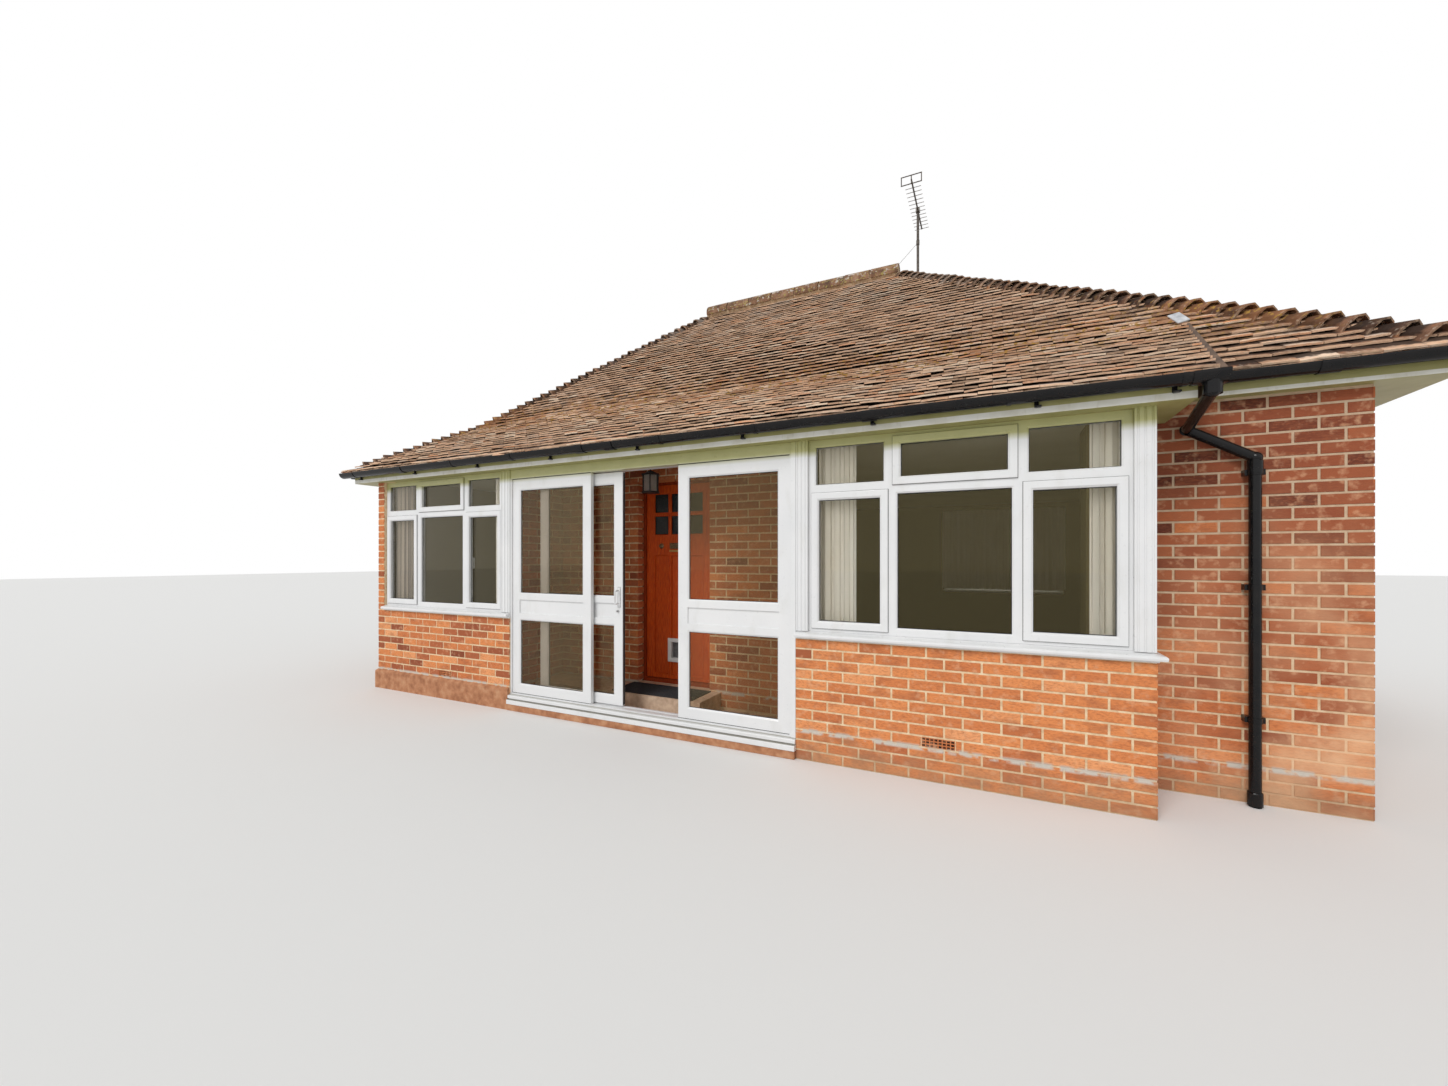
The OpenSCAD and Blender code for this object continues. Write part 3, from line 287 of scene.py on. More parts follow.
# Sand and lime mortar, struck nearly flush, is what the walls themselves show between their
# bricks. Rooms are plastered and painted on the inside of the same walls.
def within(tree, spot, limits):
    """1 inside a box and 0 outside it. Each axis has a low and a high limit, or None for either."""
    sides = []
    for axis, (low, high) in limits.items():
        if low is not None:
            sides.append(past(tree, spot[axis], low))
        if high is not None:
            sides.append(past(tree, spot[axis], high, 1.0, 0.0))
    inside = sides[0]
    for side in sides[1:]:
        inside = combine(tree, inside, side)
    return inside


mortar, tree, shader = finish("mortar_and_plaster", 0.93, {"Specular IOR Level": 0.15})
sand = shades(tree, mottle(tree, 30, 6),
              [(0.3, (0.66, 0.47, 0.28)), (0.55, (0.82, 0.63, 0.40)), (0.8, (0.88, 0.74, 0.52))])
spot = axes(tree)
# On the wing the mortar darkens towards the top: painted shade under the eaves.
shade_and_weathering = combine(tree, past(tree, spot["X"], bay_right + 0.001),
               window_of(tree, spot["Z"], 0.4, 2.0, 0.15, 0.6))
sand = layer(tree, shade_and_weathering, sand, (0.42, 0.29, 0.22))
sand = tint_where(tree, sand, mottle(tree, 600, 2), 0.55, 0.7, 0.4, (0.34, 0.25, 0.17))
sand = bloom(tree, sand)
inside = within(tree, spot, {"X": (-4.10, 4.10), "Y": (-3.19, 3.10), "Z": (0.2, None)})
porch = within(tree, spot, {"X": (-2.16, 0.99), "Y": (None, -2.45)})
wing_front = within(tree, spot, {"X": (3.04, None), "Y": (None, -2.72)})
for outdoors in (porch, wing_front):
    inside = combine(tree, inside, combine(tree, 1.0, outdoors, "SUBTRACT"))
plaster = (0.17, 0.14, 0.065)
tree.links.new(layer(tree, inside, sand, plaster), shader.inputs["Base Color"])
relief(tree, shader, mottle(tree, 300, 4), 0.002, 0.6)
for name in ("left_bay_wall", "right_bay_wall", "left_side_wall", "right_side_wall", "wing_front_wall",
             "rear_wall",
             "porch_rear_wall_left", "porch_rear_wall_right", "porch_side_walls", "lintels"):
    repaint(name, mortar)


# The bricks are laid on the walls' outer faces, with gaps at the openings, and an air brick of
# the same clay in the foot of each bay. Its slots are flat, painted near black as shade in the holes.
scratch = bpy.data.meshes.new("scratch")


def blank(along=False):
    """An empty shape whose faces keep a shade, and whose points may keep how far along they are."""
    shape = bmesh.new()
    shape.faces.layers.float.new("shade")
    if along:
        shape.verts.layers.float.new("along")
    return shape


def add_to(shape, one, lie=None):
    """Put a finished part into the shape of its piece."""
    if lie:
        bmesh.ops.transform(one, matrix=lie, verts=one.verts)
    one.to_mesh(scratch)
    one.free()
    shape.from_mesh(scratch)


def facing(at, degrees, axis="Z"):
    """The move that turns a part and takes it to its place."""
    return Matrix.Translation(at) @ Matrix.Rotation(math.radians(degrees), 4, axis)


def ease(one, edges, by, steps):
    """Take the sharpness off these edges."""
    bmesh.ops.bevel(one, geom=edges, offset=by, segments=steps, profile=0.5, affect="EDGES", material=-1)


def outwards(one):
    """Every face of the part looks away from it."""
    bmesh.ops.recalc_face_normals(one, faces=one.faces[:])


def points_of(geometry):
    return [g for g in geometry if isinstance(g, bmesh.types.BMVert)]


def cut_out(low, high, gaps):
    """What is left of the stretch from low to high once the gaps are taken out."""
    kept = [(low, high)]
    for g0, g1 in gaps:
        kept = [(a, b) for k0, k1 in kept for a,
                b in ((k0, min(k1, g0)), (max(k0, g1), k1)) if b - a > least_wide]
    return kept


def set_brick(row, u0, u1, low, high, tone, chance):
    """One brick in its row, a little out of true."""
    out = proud + chance.uniform(-uneven, uneven)
    size = Vector((u1 - u0, out + bedded, high - low))
    centre = Vector(((u0 + u1) / 2, (bedded - out) / 2, (low + high) / 2))
    lean = Matrix.Rotation(chance.uniform(-crooked, crooked), 4, "Y")
    lie = Matrix.Translation(centre) @ lean @ Matrix.Diagonal(size).to_4x4()
    made = bmesh.ops.create_cube(row, size=1, matrix=lie)
    for face in {f for v in made["verts"] for f in v.link_faces}:
        face[row.faces.layers.float["shade"]] = tone


def lay_bricks(shape, start, turn, length, z0, z1, gaps=(), header_first=True, from_end=False,
               fit=False, tones=(0.62, 0.62, 0.09, 0.06), seed=1, corners=(0, 0)):
    """Bricks on one wall face that starts at a plan point and runs that way, seen from outside
    from left to right. Gaps are (from, to, low, high) along the wall. Tones are the bricks' shade
    at the foot and at two metres, its spread, and the share of burnt ones."""
    foot_tone, high_tone, spread, burnt = tones
    halves = round(length / stretcher - 0.5)
    pitch = length / (halves + 0.5) if fit else stretcher
    k = 0
    while k * course + joint < z1:
        low, high = max(k * course + joint / 2, z0), min((k + 1) * course - joint / 2, z1)
        header = (k % 2 == 0) == header_first
        if high - low > least_high:
            here = [(g[0], g[1]) for g in gaps if g[2] < (low + high) / 2 < g[3]]
            row = blank()
            at, n, last, chance = 0.0, 0, False, random.Random(seed * 1000 + k)
            while at < length - 0.001 and not last:
                run = pitch / 2 if header and n == 0 else pitch
                last = at + run >= length - 0.03
                a = at + (joint / 2 if n else 0)
                b = length if last else min(at + run - joint / 2, length)
                pick = chance
                if n == 0 and corners[0]:
                    pick = random.Random(corners[0] * 997 + k)
                    a -= proud
                if last and corners[1]:
                    pick = random.Random(corners[1] * 997 + k)
                    b += proud
                tone = pick.gauss(foot_tone + (high_tone - foot_tone) * min(1, low / 2), spread)
                tone = min(1, max(0.04, tone))
                if pick.random() < burnt:
                    tone *= pick.uniform(0.45, 0.75)
                if from_end:
                    a, b = length - b, length - a
                for u0, u1 in cut_out(a, b, here):
                    set_brick(row, u0, u1, low, high, tone, chance)
                at += run
                n += 1
            row.normal_update()
            backs = [f for f in row.faces if f.normal.y > 0.9]
            bmesh.ops.delete(row, geom=backs, context="FACES_ONLY")
            ease(row, [e for e in row.edges if any(f.normal.y < -0.9 for f in e.link_faces)], arris, 1)
            add_to(shape, row, facing((*start, 0), turn))
        k += 1


right_air_brick = (1.800, 2.006)
left_air_brick = (-3.094, -2.918)
slots_wide, slots_high, slot_rim, vent_out = 8, 3, 0.0045, proud + 0.001


def air_hole(between_x, start_x):
    """The gap in the brickwork for an air brick in the fourth course."""
    return (between_x[0] - start_x - joint / 2, between_x[1] - start_x + joint / 2, 3 * course, 4 * course)


bay_bricks = blank()
lay_bricks(bay_bricks, (porch_right, front), 0, bay_right - porch_right, 0, sill_under,
           header_first=False, from_end=True, seed=11, corners=(3, 0),
           gaps=[air_hole(right_air_brick, porch_right)])
lay_bricks(bay_bricks, (bay_right, front), 90, wing_face - front, 0, sill_under, seed=12, corners=(3, 0))
dark_tones, left_edge = (0.55, 0.55, 0.13, 0.2), 0.100
lay_bricks(bay_bricks, (left, front), 0, porch_left - left, 0, sill_under, tones=dark_tones, seed=13,
           corners=(2, 0), gaps=[air_hole(left_air_brick, left)])
lay_bricks(bay_bricks, (left, front), 0, left_edge, sill_under, low_soffit, tones=dark_tones, seed=13,
           corners=(2, 0))
for low_x, high_x in (right_air_brick, left_air_brick):
    vent = blank()
    shade = vent.faces.layers.float["shade"]
    middle = ((low_x + high_x) / 2, front - vent_out, 3.5 * course)
    bmesh.ops.create_grid(vent, x_segments=slots_wide, y_segments=slots_high, size=0.5,
                          matrix=facing(middle, 90,
                                        "X") @ Matrix.Diagonal((high_x - low_x, course - joint, 1, 1)))
    for face in vent.faces:
        face[shade] = 0.5
    bmesh.ops.inset_individual(vent, faces=vent.faces[:], thickness=slot_rim, depth=0)
    # The slots take the lowest shade: painted shade in the holes.
    for face in vent.faces[:slots_wide * slots_high]:
        face[shade] = 0.0
    skirt = bmesh.ops.extrude_edge_only(vent, edges=[e for e in vent.edges if len(e.link_faces) == 1])["geom"]
    bmesh.ops.translate(vent, vec=(0, vent_out, 0), verts=points_of(skirt))
    outwards(vent)
    add_to(bay_bricks, vent)
piece("bay_bricks", bay_bricks, brick)

wing_bricks = blank()
# The wing's front bricks darken from the foot to two metres up: painted shade under the wing's eaves.
lay_bricks(wing_bricks, (bay_right, wing_face), 0, right - bay_right, 0, high_soffit,
           header_first=False, from_end=True, tones=(0.54, 0.20, 0.08, 0.1), seed=21, corners=(4, 0))
lay_bricks(wing_bricks, (right, wing_face), 90, rear - wing_face, 0, high_soffit,
           fit=True, tones=(0.50, 0.36, 0.12, 0.15), seed=22, corners=(4, 5))
piece("wing_bricks", wing_bricks, brick)

bar_face = 0.072
rear_window_wide = 1.8
rear_windows_at = (left + 0.9, right - 2.7)
plain_tones = (0.52, 0.5, 0.12, 0.15)
rear_bricks = blank()
rear_gaps = [(right - at - rear_window_wide, right - at, sill_under,
              low_soffit - bar_face) for at in rear_windows_at]
lay_bricks(rear_bricks, (right, rear), 180, right - left, 0, high_soffit, fit=True, tones=plain_tones,
           seed=31,
           corners=(5, 6), gaps=rear_gaps[::-1])
piece("rear_bricks", rear_bricks, brick)

side_bricks = blank()
lay_bricks(side_bricks, (left, rear), 270, rear - front, 0, low_soffit, fit=True, tones=plain_tones, seed=41,
           corners=(6, 2))
piece("side_bricks", side_bricks, brick)

doorway, door_head = (-1.048, -0.208), 2.283
reveal, porch_floor, door_sill, screen_gap = 0.10, 0.06, 0.215, 0.14
porch_tones = (0.5, 0.42, 0.08, 0.08)
porch_deep = porch_rear - front - screen_gap
porch_bricks = blank()
lay_bricks(porch_bricks, (porch_left, porch_rear), 0, porch_right - porch_left, porch_floor, 2.4,
           tones=porch_tones,
           seed=51, gaps=[(doorway[0] - porch_left, doorway[1] - porch_left, 0, door_head)])
for start, turn, length, low, high, seed in (
        ((doorway[0], porch_rear), 90, reveal, door_sill, door_head, 52),
        ((doorway[1], porch_rear + reveal), 270, reveal, door_sill, door_head, 53),
        ((porch_left, front + screen_gap), 90, porch_deep, porch_floor, low_soffit, 54),
        ((porch_right, porch_rear), 270, porch_deep, porch_floor, low_soffit, 55)):
    lay_bricks(porch_bricks, start, turn, length, low, high, tones=porch_tones, seed=seed)
piece("porch_bricks", porch_bricks, brick)

# The ground floor is a screeded concrete slab, and the ceiling is painted board.
# Both are seen only through the windows.
def plain_finish(name, roughness, cells, stops, bumps=None, also=None):
    """A finish whose colour runs through the stops in cloudy cells. Bumps are their own cells,
    height and strength."""
    material, tree, shader = finish(name, roughness, also)
    tree.links.new(shades(tree, mottle(tree, *cells), stops), shader.inputs["Base Color"])
    if bumps:
        relief(tree, shader, mottle(tree, *bumps[0]), *bumps[1:])
    return material
screed = plain_finish("screed", 0.8, (4, 6), [(0.3, (0.30, 0.27, 0.23)), (0.7, (0.42, 0.38, 0.33))],
                      ((60, 5), 0.002, 0.4))
repaint("floor_slab", screed)
board = plain_finish("painted_ceiling", 0.9, (2, 3), [(0.3, (0.58, 0.56, 0.48)), (0.7, (0.66, 0.64, 0.56))])
repaint("ceiling", board)

# Plain clay tiles hang on battens with 88 mm of each showing, half a tile across from
# the course below. They have weathered to browns and greys with lichen, dust and moss.
tile_clay, tree, shader = finish("plain_clay_tile", 0.92, {"Specular IOR Level": 0.2})
fired = shades(tree, own_value(tree, "shade"), [
    (0.0, (0.040, 0.022, 0.015)), (0.18, (0.12, 0.06, 0.037)), (0.34, (0.30, 0.15, 0.088)),
    (0.52, (0.60, 0.35, 0.215)), (0.70, (0.86, 0.57, 0.385)), (0.80, (0.58, 0.45, 0.37)),
    (0.90, (0.78, 0.27, 0.085)), (1.0, (0.98, 0.80, 0.62))])
soot = mottle(tree, 9, 6)
fired = tint_where(tree, fired, soot, 0.5, 0.78, 0.6, (0.10, 0.06, 0.042))
rust = mottle(tree, 14, 6)
fired = tint_where(tree, fired, rust, 0.58, 0.70, 0.5, (0.66, 0.24, 0.08))
lichen = mottle(tree, 46, 6)
fired = tint_where(tree, fired, lichen, 0.58, 0.68, 0.6, (0.62, 0.52, 0.42))
dust = mottle(tree, 150, 4)
fired = tint_where(tree, fired, dust, 0.58, 0.75, 0.6, (0.07, 0.045, 0.032))
# Along each tile, the pale band at its tail is painted highlight, and the dark band above it, under the tail
# of the course above, is painted shadow.
up_tile = own_value(tree, "along")
ragged = combine(tree, up_tile, window_of(tree, mottle(tree, 30, 4), 0.3, 0.7, -0.10, 0.10), "ADD")
fired = layer(tree, window_of(tree, ragged, 0.0, 0.18, 0.42, 0.0), fired, (0.98, 0.69, 0.47))
fired = tint_where(tree, fired, ragged, 0.24, 0.44, 0.95, (0.035, 0.020, 0.014))
spot = axes(tree)
mossy = combine(tree, window_of(tree, spot["Z"], 2.85, 3.1), window_of(tree, spot["Z"], 3.3, 3.6, 1.0, 0.15))
litter = combine(tree, mossy, window_of(tree, mottle(tree, 3.5, 7), 0.46, 0.58, 0.0, 0.62))
fired = layer(tree, litter, fired, (0.34, 0.15, 0.065))
streaks = combine(tree, window_of(tree, spot["Z"], 4.1, 4.8),
                  window_of(tree, mottle(tree, 5, 6, (1, 1, 0.35)), 0.5, 0.62, 0.0, 0.5))
fired = layer(tree, streaks, fired, (0.44, 0.38, 0.33))
moss = combine(tree, mossy, window_of(tree, mottle(tree, 26, 6), 0.57, 0.63, 0.0, 0.85))
fired = layer(tree, moss, fired, (0.48, 0.28, 0.06))
tree.links.new(fired, shader.inputs["Base Color"])
relief(tree, shader, combine(tree, lichen, dust, "ADD"), 0.004, 0.9)

ridge_left, ridge_right, ridge_back, ridge_top = -1.685, 1.125, 0.27, 5.25
eave_front, eave_wing, eave_rear, eave_left, eave_right = -3.43, -2.89, 3.43, -4.535, 4.535
low_eave, high_eave = 2.52, 2.64
rise_front = (ridge_top - high_eave) / (ridge_back - eave_wing)
rise_left = (ridge_top - low_eave) / (ridge_left - eave_left)
rise_right = (ridge_top - high_eave) / (eave_right - ridge_right)
break_back = -2.18
break_top = ridge_top - (ridge_back - break_back) * rise_front
rise_low = (break_top - low_eave) / (break_back - eave_front)
break_left = ridge_left - (ridge_top - break_top) / rise_left
rear_left = ridge_left - (ridge_top - high_eave) / rise_left
verge_low, verge_high = 3.272, 3.422
ridge_start, ridge_end = (ridge_left, ridge_back, ridge_top), (ridge_right, ridge_back, ridge_top)
break_hip, left_foot = (break_left, break_back, break_top), (eave_left, eave_front, low_eave)
wing_foot, rear_right_foot = (eave_right, eave_wing, high_eave), (eave_right, eave_rear, high_eave)
rear_left_foot = (rear_left, eave_rear, high_eave)
tile_wide, tile_thick, tile_gap, gauge = 0.165, 0.012, 0.003, 0.088
tile_reach, eave_reach, over_gutter = 0.118, 0.158, 0.040
tail_lift, batten_lift, head_under, camber = 0.004, 0.020, 0.030, 0.0025
under_tile_drop, under_tile_tilt = 0.014, 0.10
spare = 0.2


def tile_course(n_up, v, u0, u1, seed):
    """One course of tiles from u0 to u1 with its tails at v, on a level board. Some tiles have
    slipped, and some are darker or brighter than the rest."""
    chance = random.Random(seed * 1000 + n_up)
    row = blank(along=True)
    shade, along_tile = row.faces.layers.float["shade"], row.verts.layers.float["along"]
    reach = tile_reach if n_up > 0 else eave_reach
    base = chance.gauss(0.56, 0.05)
    for n in range(math.floor(u0 / tile_wide) - 1, math.ceil(u1 / tile_wide) + 1):
        u = (n + 0.5 * (n_up % 2)) * tile_wide
        if u + tile_wide < u0 or u > u1:
            continue
        sway = math.sin(u * 2.3 + seed) * math.sin(u * 0.61 + v * 1.7)
        drop = chance.gauss(0, 0.0025) + 0.007 * sway
        lift = tail_lift + abs(chance.gauss(0, 0.004)) + 0.005 * math.sin(u * 1.1 + v * 2.3 + seed)
        if chance.random() < 0.02:
            drop -= chance.uniform(0.008, 0.02)
            lift += 0.004
        tilt = math.atan2(batten_lift + lift - tail_lift, reach - head_under)
        if n_up < 0:
            lift, tilt = tail_lift - under_tile_drop, under_tile_tilt
        slope = Matrix.Rotation(-tilt, 4, "X")
        for spread, axis in ((0.022, "Y"), (0.012, "Z")):
            slope = slope @ Matrix.Rotation(chance.gauss(0, spread), 4, axis)
        size = Matrix.Diagonal((tile_wide - tile_gap, reach, tile_thick, 1))
        lie = Matrix.Translation((u + tile_wide / 2, v + drop, lift)) @ slope
        lie = lie @ (Matrix.Translation((0, reach / 2, -tile_thick / 2)) @ size)
        made = bmesh.ops.create_cube(row, size=1, matrix=lie)
        tone = base + 0.09 * math.sin(u * 3.1 + n_up * 1.9) * math.sin(u * 0.9 - v) + chance.gauss(0, 0.14)
        rare = chance.random()
        if rare < 0.12:
            tone = chance.uniform(0.06, 0.30)
        elif rare > 0.92:
            tone = chance.uniform(0.86, 1.0)
        else:
            tone = min(0.78, tone)
        back = lie.inverted()
        for w in made["verts"]:
            w[along_tile] = (back @ w.co).y + 0.5
        for face in {f for w in made["verts"] for f in w.link_faces}:
            face[shade] = min(1, max(0.05, tone))
    # Tail faces that look down the slope are made paler: painted highlight on the lit tails.
    row.normal_update()
    for face in row.faces:
        if face.normal.y < -0.9:
            face[shade] = min(1, face[shade] * 1.1 + 0.1)
    hidden = [f for f in row.faces if f.normal.z < -0.9 or f.normal.y > 0.9]
    bmesh.ops.delete(row, geom=hidden, context="FACES_ONLY")
    across = [e for e in row.edges if abs((e.verts[0].co - e.verts[1].co).x) > 0.1]
    cut = bmesh.ops.subdivide_edges(row, edges=across, cuts=1)
    for middle in points_of(cut["geom_inner"]):
        middle.co.z += camber
    return row


def lay_tiles(shape, corner, along, rise, v0, v1, u_range, clips, seed):
    """Tiles on a slope whose eave passes through the corner. The slope rises to the left of
    the way along. v0 and v1 are distances up the slope, u_range(v) is the run of a course, and
    clips are vertical planes, as two points with the roof to their left."""
    pitch = math.atan(rise)
    way = Vector((math.cos(along), math.sin(along), 0))
    up = Vector((-way.y, way.x, 0)) * math.cos(pitch) + Vector((0, 0, math.sin(pitch)))
    lie = Matrix((way, up, way.cross(up))).transposed().to_4x4()
    lie.translation = Vector(corner)
    rows = blank(along=True)
    n_up = round(v0 / gauge) or -1
    while n_up * gauge < v1 - 0.02:
        v = n_up * gauge if n_up > 0 else -over_gutter
        add_to(rows, tile_course(n_up, v, *u_range(v), seed))
        n_up += 1
    bmesh.ops.transform(rows, matrix=lie, verts=rows.verts)
    for p, q in clips:
        edge = Vector((q[0] - p[0], q[1] - p[1], 0)).normalized()
        bmesh.ops.bisect_plane(rows, geom=rows.verts[:] + rows.edges[:] + rows.faces[:],
                               plane_co=(p[0], p[1], 0), plane_no=(edge.y, -edge.x, 0), clear_outer=True)
    add_to(shape, rows)


def tiled_slope(name, node, *runs):
    """A slope's tiles as one piece that stands for its CAD solid."""
    shape = blank(along=True)
    for run in runs:
        lay_tiles(shape, *run)
    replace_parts(piece(name, shape, tile_clay), node)


def between(p, q):
    """A course's end on the line from p to q, (u, v) each, as a function of v."""
    return lambda v: p[0] + (q[0] - p[0]) * (v - p[1]) / (q[1] - p[1])


def length_up(run, rise):
    """How far it is up a slope over a level run."""
    return run * math.sqrt(1 + rise * rise)


wing_eave = (0, eave_wing, high_eave)
main_up = length_up(ridge_back - eave_wing, rise_front)
main_break = length_up(break_back - eave_wing, rise_front)
main_left = between((break_left, main_break), (ridge_left, main_up))
main_right = between((eave_right, 0), (ridge_right, main_up))
tiled_slope("main_front_tiles", "main_front_slope",
            (wing_eave, 0, rise_front, main_break, main_up,
             lambda v: (main_left(v) - spare, main_right(v) + spare),
             [(ridge_start, break_hip), (wing_foot, ridge_end)], 61),
            (wing_eave, 0, rise_front, 0, main_break,
             lambda v: (verge_low - 0.1, main_right(v) + spare), [(wing_foot, ridge_end)], 62))


low_up = length_up(break_back - eave_front, rise_low)
low_left = between((eave_left, 0), (break_left, low_up))
low_right = between((verge_low, 0), (verge_high, low_up))
verge_clip = ((verge_low + 0.02, eave_front), (verge_high + 0.02, break_back))
tiled_slope("lower_front_tiles", "lower_front_slope",
            ((0, eave_front, low_eave), 0, rise_low, 0, low_up,
             lambda v: (low_left(v) - spare, low_right(v) + 0.1), [(break_hip, left_foot), verge_clip], 63))


side_eave = (eave_left, 0, low_eave)
side_up = length_up(ridge_left - eave_left, rise_left)
side_break = length_up(break_left - eave_left, rise_left)
side_near = between((-eave_front, 0), (-break_back, side_break))
side_near_up = between((-break_back, side_break), (-ridge_back, side_up))
side_far = between((-eave_rear, length_up(rear_left - eave_left, rise_left)), (-ridge_back, side_up))
tiled_slope("left_tiles", "left_slope",
            (side_eave, math.radians(270), rise_left, 0, side_break,
             lambda v: (max(side_far(v), -eave_rear) - spare, side_near(v) + spare),
             [(left_foot, break_hip), (ridge_start, rear_left_foot), ((0, eave_rear), (-9, eave_rear))], 64),
            (side_eave, math.radians(270), rise_left, side_break, side_up,
             lambda v: (side_far(v) - spare, side_near_up(v) + spare),
             [(break_hip, ridge_start), (ridge_start, rear_left_foot)], 65))


right_up = length_up(eave_right - ridge_right, rise_right)
right_near = between((eave_wing, 0), (ridge_back, right_up))
right_far = between((eave_rear, 0), (ridge_back, right_up))
tiled_slope("right_tiles", "right_slope",
            ((eave_right, 0, high_eave), math.radians(90), rise_right, 0, right_up,
             lambda v: (right_near(v) - spare, right_far(v) + spare),
             [(ridge_end, wing_foot), (rear_right_foot, ridge_end)], 66))


rear_up = length_up(eave_rear - ridge_back, rise_front)
rear_start = between((-eave_right, 0), (-ridge_right, rear_up))
rear_end = between((-rear_left, 0), (-ridge_left, rear_up))
tiled_slope("rear_tiles", "rear_slope",
            ((0, eave_rear, high_eave), math.radians(180), rise_front, 0, rear_up,
             lambda v: (rear_start(v) - spare, rear_end(v) + spare),
             [(ridge_end, rear_right_foot), (rear_left_foot, ridge_start)], 67))


# Under the tiles lies dark felt on the rafters, an inch and a half below their faces.
# Each slope has its own sheet, cut to the slope's outline.
felt = plain_finish("dark_felt", 0.95, (20, 5), [(0.3, (0.03, 0.022, 0.018)), (0.7, (0.08, 0.055, 0.04))])
felt_under, felt_thick = Vector((0, 0, 0.048)), 0.02


def flat_face(points):
    """A shape with one flat face through these points."""
    one = bmesh.new()
    around = bmesh.ops.create_circle(one, cap_ends=True, segments=len(points), radius=1)["verts"]
    for v, point in zip(around, points):
        v.co = point
    one.normal_update()
    return one


sheets = bmesh.new()
for outline in ((ridge_start, ridge_end, wing_foot, (verge_low, eave_wing, high_eave),
                 (verge_low, break_back, break_top), break_hip),
                (break_hip, (verge_high, break_back, break_top), (verge_low, eave_front, low_eave),
                 left_foot),
                (ridge_start, break_hip, left_foot, (eave_left, eave_rear, low_eave), rear_left_foot),
                (ridge_end, rear_right_foot, wing_foot),
                (ridge_end, ridge_start, rear_left_foot, rear_right_foot)):
    one = flat_face([Vector(corner) - felt_under for corner in outline])
    if one.faces[:][0].normal.z < 0:
        bmesh.ops.reverse_faces(one, faces=one.faces[:])
    bmesh.ops.solidify(one, geom=one.faces[:], thickness=felt_thick)
    outwards(one)
    add_to(sheets, one)
piece("roofing_felt", sheets, felt)

# Where the lower slope ends beside the wing, a board closes the step between the two slopes. It is
# dark, painted shadow in the step. A scrap of white flashing lies on the tiles there.
verge_shadow_paint = plain_finish("verge_board", 0.9, (9, 5),
                           [(0.3, (0.07, 0.045, 0.032)), (0.7, (0.19, 0.12, 0.08))])
board_thick, board_front, board_out = 0.045, eave_front + 0.01, verge_low + 0.012
slant = (verge_high - verge_low) / (break_back - eave_front)
cheek = flat_face([(board_out + (y - eave_front) * slant, y, z) for y, z in (
    (board_front, low_eave - 0.02), (break_back, break_top - 0.025), (break_back, break_top - 0.20),
    (eave_wing, high_eave - 0.17), (board_front, low_eave - 0.10))])
inwards = -1 if cheek.faces[:][0].normal.x > 0 else 1
bmesh.ops.solidify(cheek, geom=cheek.faces[:], thickness=inwards * board_thick)
outwards(cheek)
piece("verge_board", cheek, verge_shadow_paint)
scrap_white = plain_finish("white_flashing", 0.7, (20, 4),
                           [(0.3, (0.36, 0.37, 0.39)), (0.7, (0.66, 0.67, 0.69))])
scrap = bmesh.new()
scrap_size, scrap_turn = (0.075, 0.125, 0.010, 1), 0.35
scrap_at = (verge_high - 0.045, break_back - 0.22, break_top - 0.22 * rise_low + 0.050)
scrap_lie = Matrix.Rotation(math.atan(rise_low) + scrap_turn, 4, "X") @ Matrix.Rotation(scrap_turn, 4, "Z")
bmesh.ops.create_cube(scrap, size=1,
                      matrix=Matrix.Translation(scrap_at) @ scrap_lie @ Matrix.Diagonal(scrap_size))
ease(scrap, scrap.edges[:], 0.004, 2)
piece("flashing_scrap", scrap, scrap_white)

# Half-round ridge tiles bedded in mortar, and bonnet tiles that step down each hip with a
# raised tail on every course. Both are clay, with moss and lichen on them and on the bedding.
bedding = plain_finish("ridge_bedding", 0.95, (22, 6),
                       [(0.3, (0.36, 0.22, 0.12)), (0.6, (0.58, 0.42, 0.26)), (0.8, (0.68, 0.58, 0.44))],
                       ((80, 5), 0.006, 0.9))
ridge_clay, tree, shader = finish("mossy_ridge_tile", 0.9)
fired = shades(tree, mottle(tree, 8, 5),
               [(0.3, (0.08, 0.042, 0.026)), (0.5, (0.22, 0.11, 0.06)), (0.72, (0.40, 0.24, 0.15))])
fired = tint_where(tree, fired, mottle(tree, 38, 5), 0.56, 0.64, 0.8, (0.40, 0.33, 0.10))
fired = tint_where(tree, fired, mottle(tree, 20, 5), 0.58, 0.64, 0.8, (0.58, 0.53, 0.46))
tree.links.new(fired, shader.inputs["Base Color"])
relief(tree, shader, mottle(tree, 90, 5), 0.004, 0.8)


cap_thick = 0.013


def cap_tile(shape, low_end, high_end, tail_r, head_r, arc, lift, tone, sides):
    """A curved tile whose tail is at low_end and whose head is at high_end, with its middle
    upwards. Arc is how far round it goes to each side, in degrees."""
    way = high_end - low_end
    one = blank(along=True)
    bmesh.ops.create_cone(one, cap_ends=False, segments=sides, radius1=tail_r, radius2=head_r,
                          depth=way.length,
                          matrix=Matrix.Translation((0, 0, way.length / 2)))
    # The along value also lays the tile finish's painted highlight and painted shadow bands on the bonnets.
    for v in one.verts:
        v[one.verts.layers.float["along"]] = 0.10 + v.co.z / way.length
    middles = [(f, f.calc_center_median()) for f in one.faces]
    loose = [f for f, middle in middles if abs(math.degrees(math.atan2(middle.x, middle.y))) > arc]
    bmesh.ops.delete(one, geom=loose, context="FACES")
    bmesh.ops.solidify(one, geom=one.faces[:], thickness=-cap_thick)
    outwards(one)
    for face in one.faces:
        face[one.faces.layers.float["shade"]] = tone
    z_axis = way.normalized()
    y_axis = (Vector((0, 0, 1)) - z_axis * z_axis.z).normalized()
    lie = Matrix((y_axis.cross(z_axis), y_axis, z_axis)).transposed().to_4x4()
    lie.translation = low_end
    add_to(shape, one, lie @ Matrix.Rotation(lift, 4, "X"))


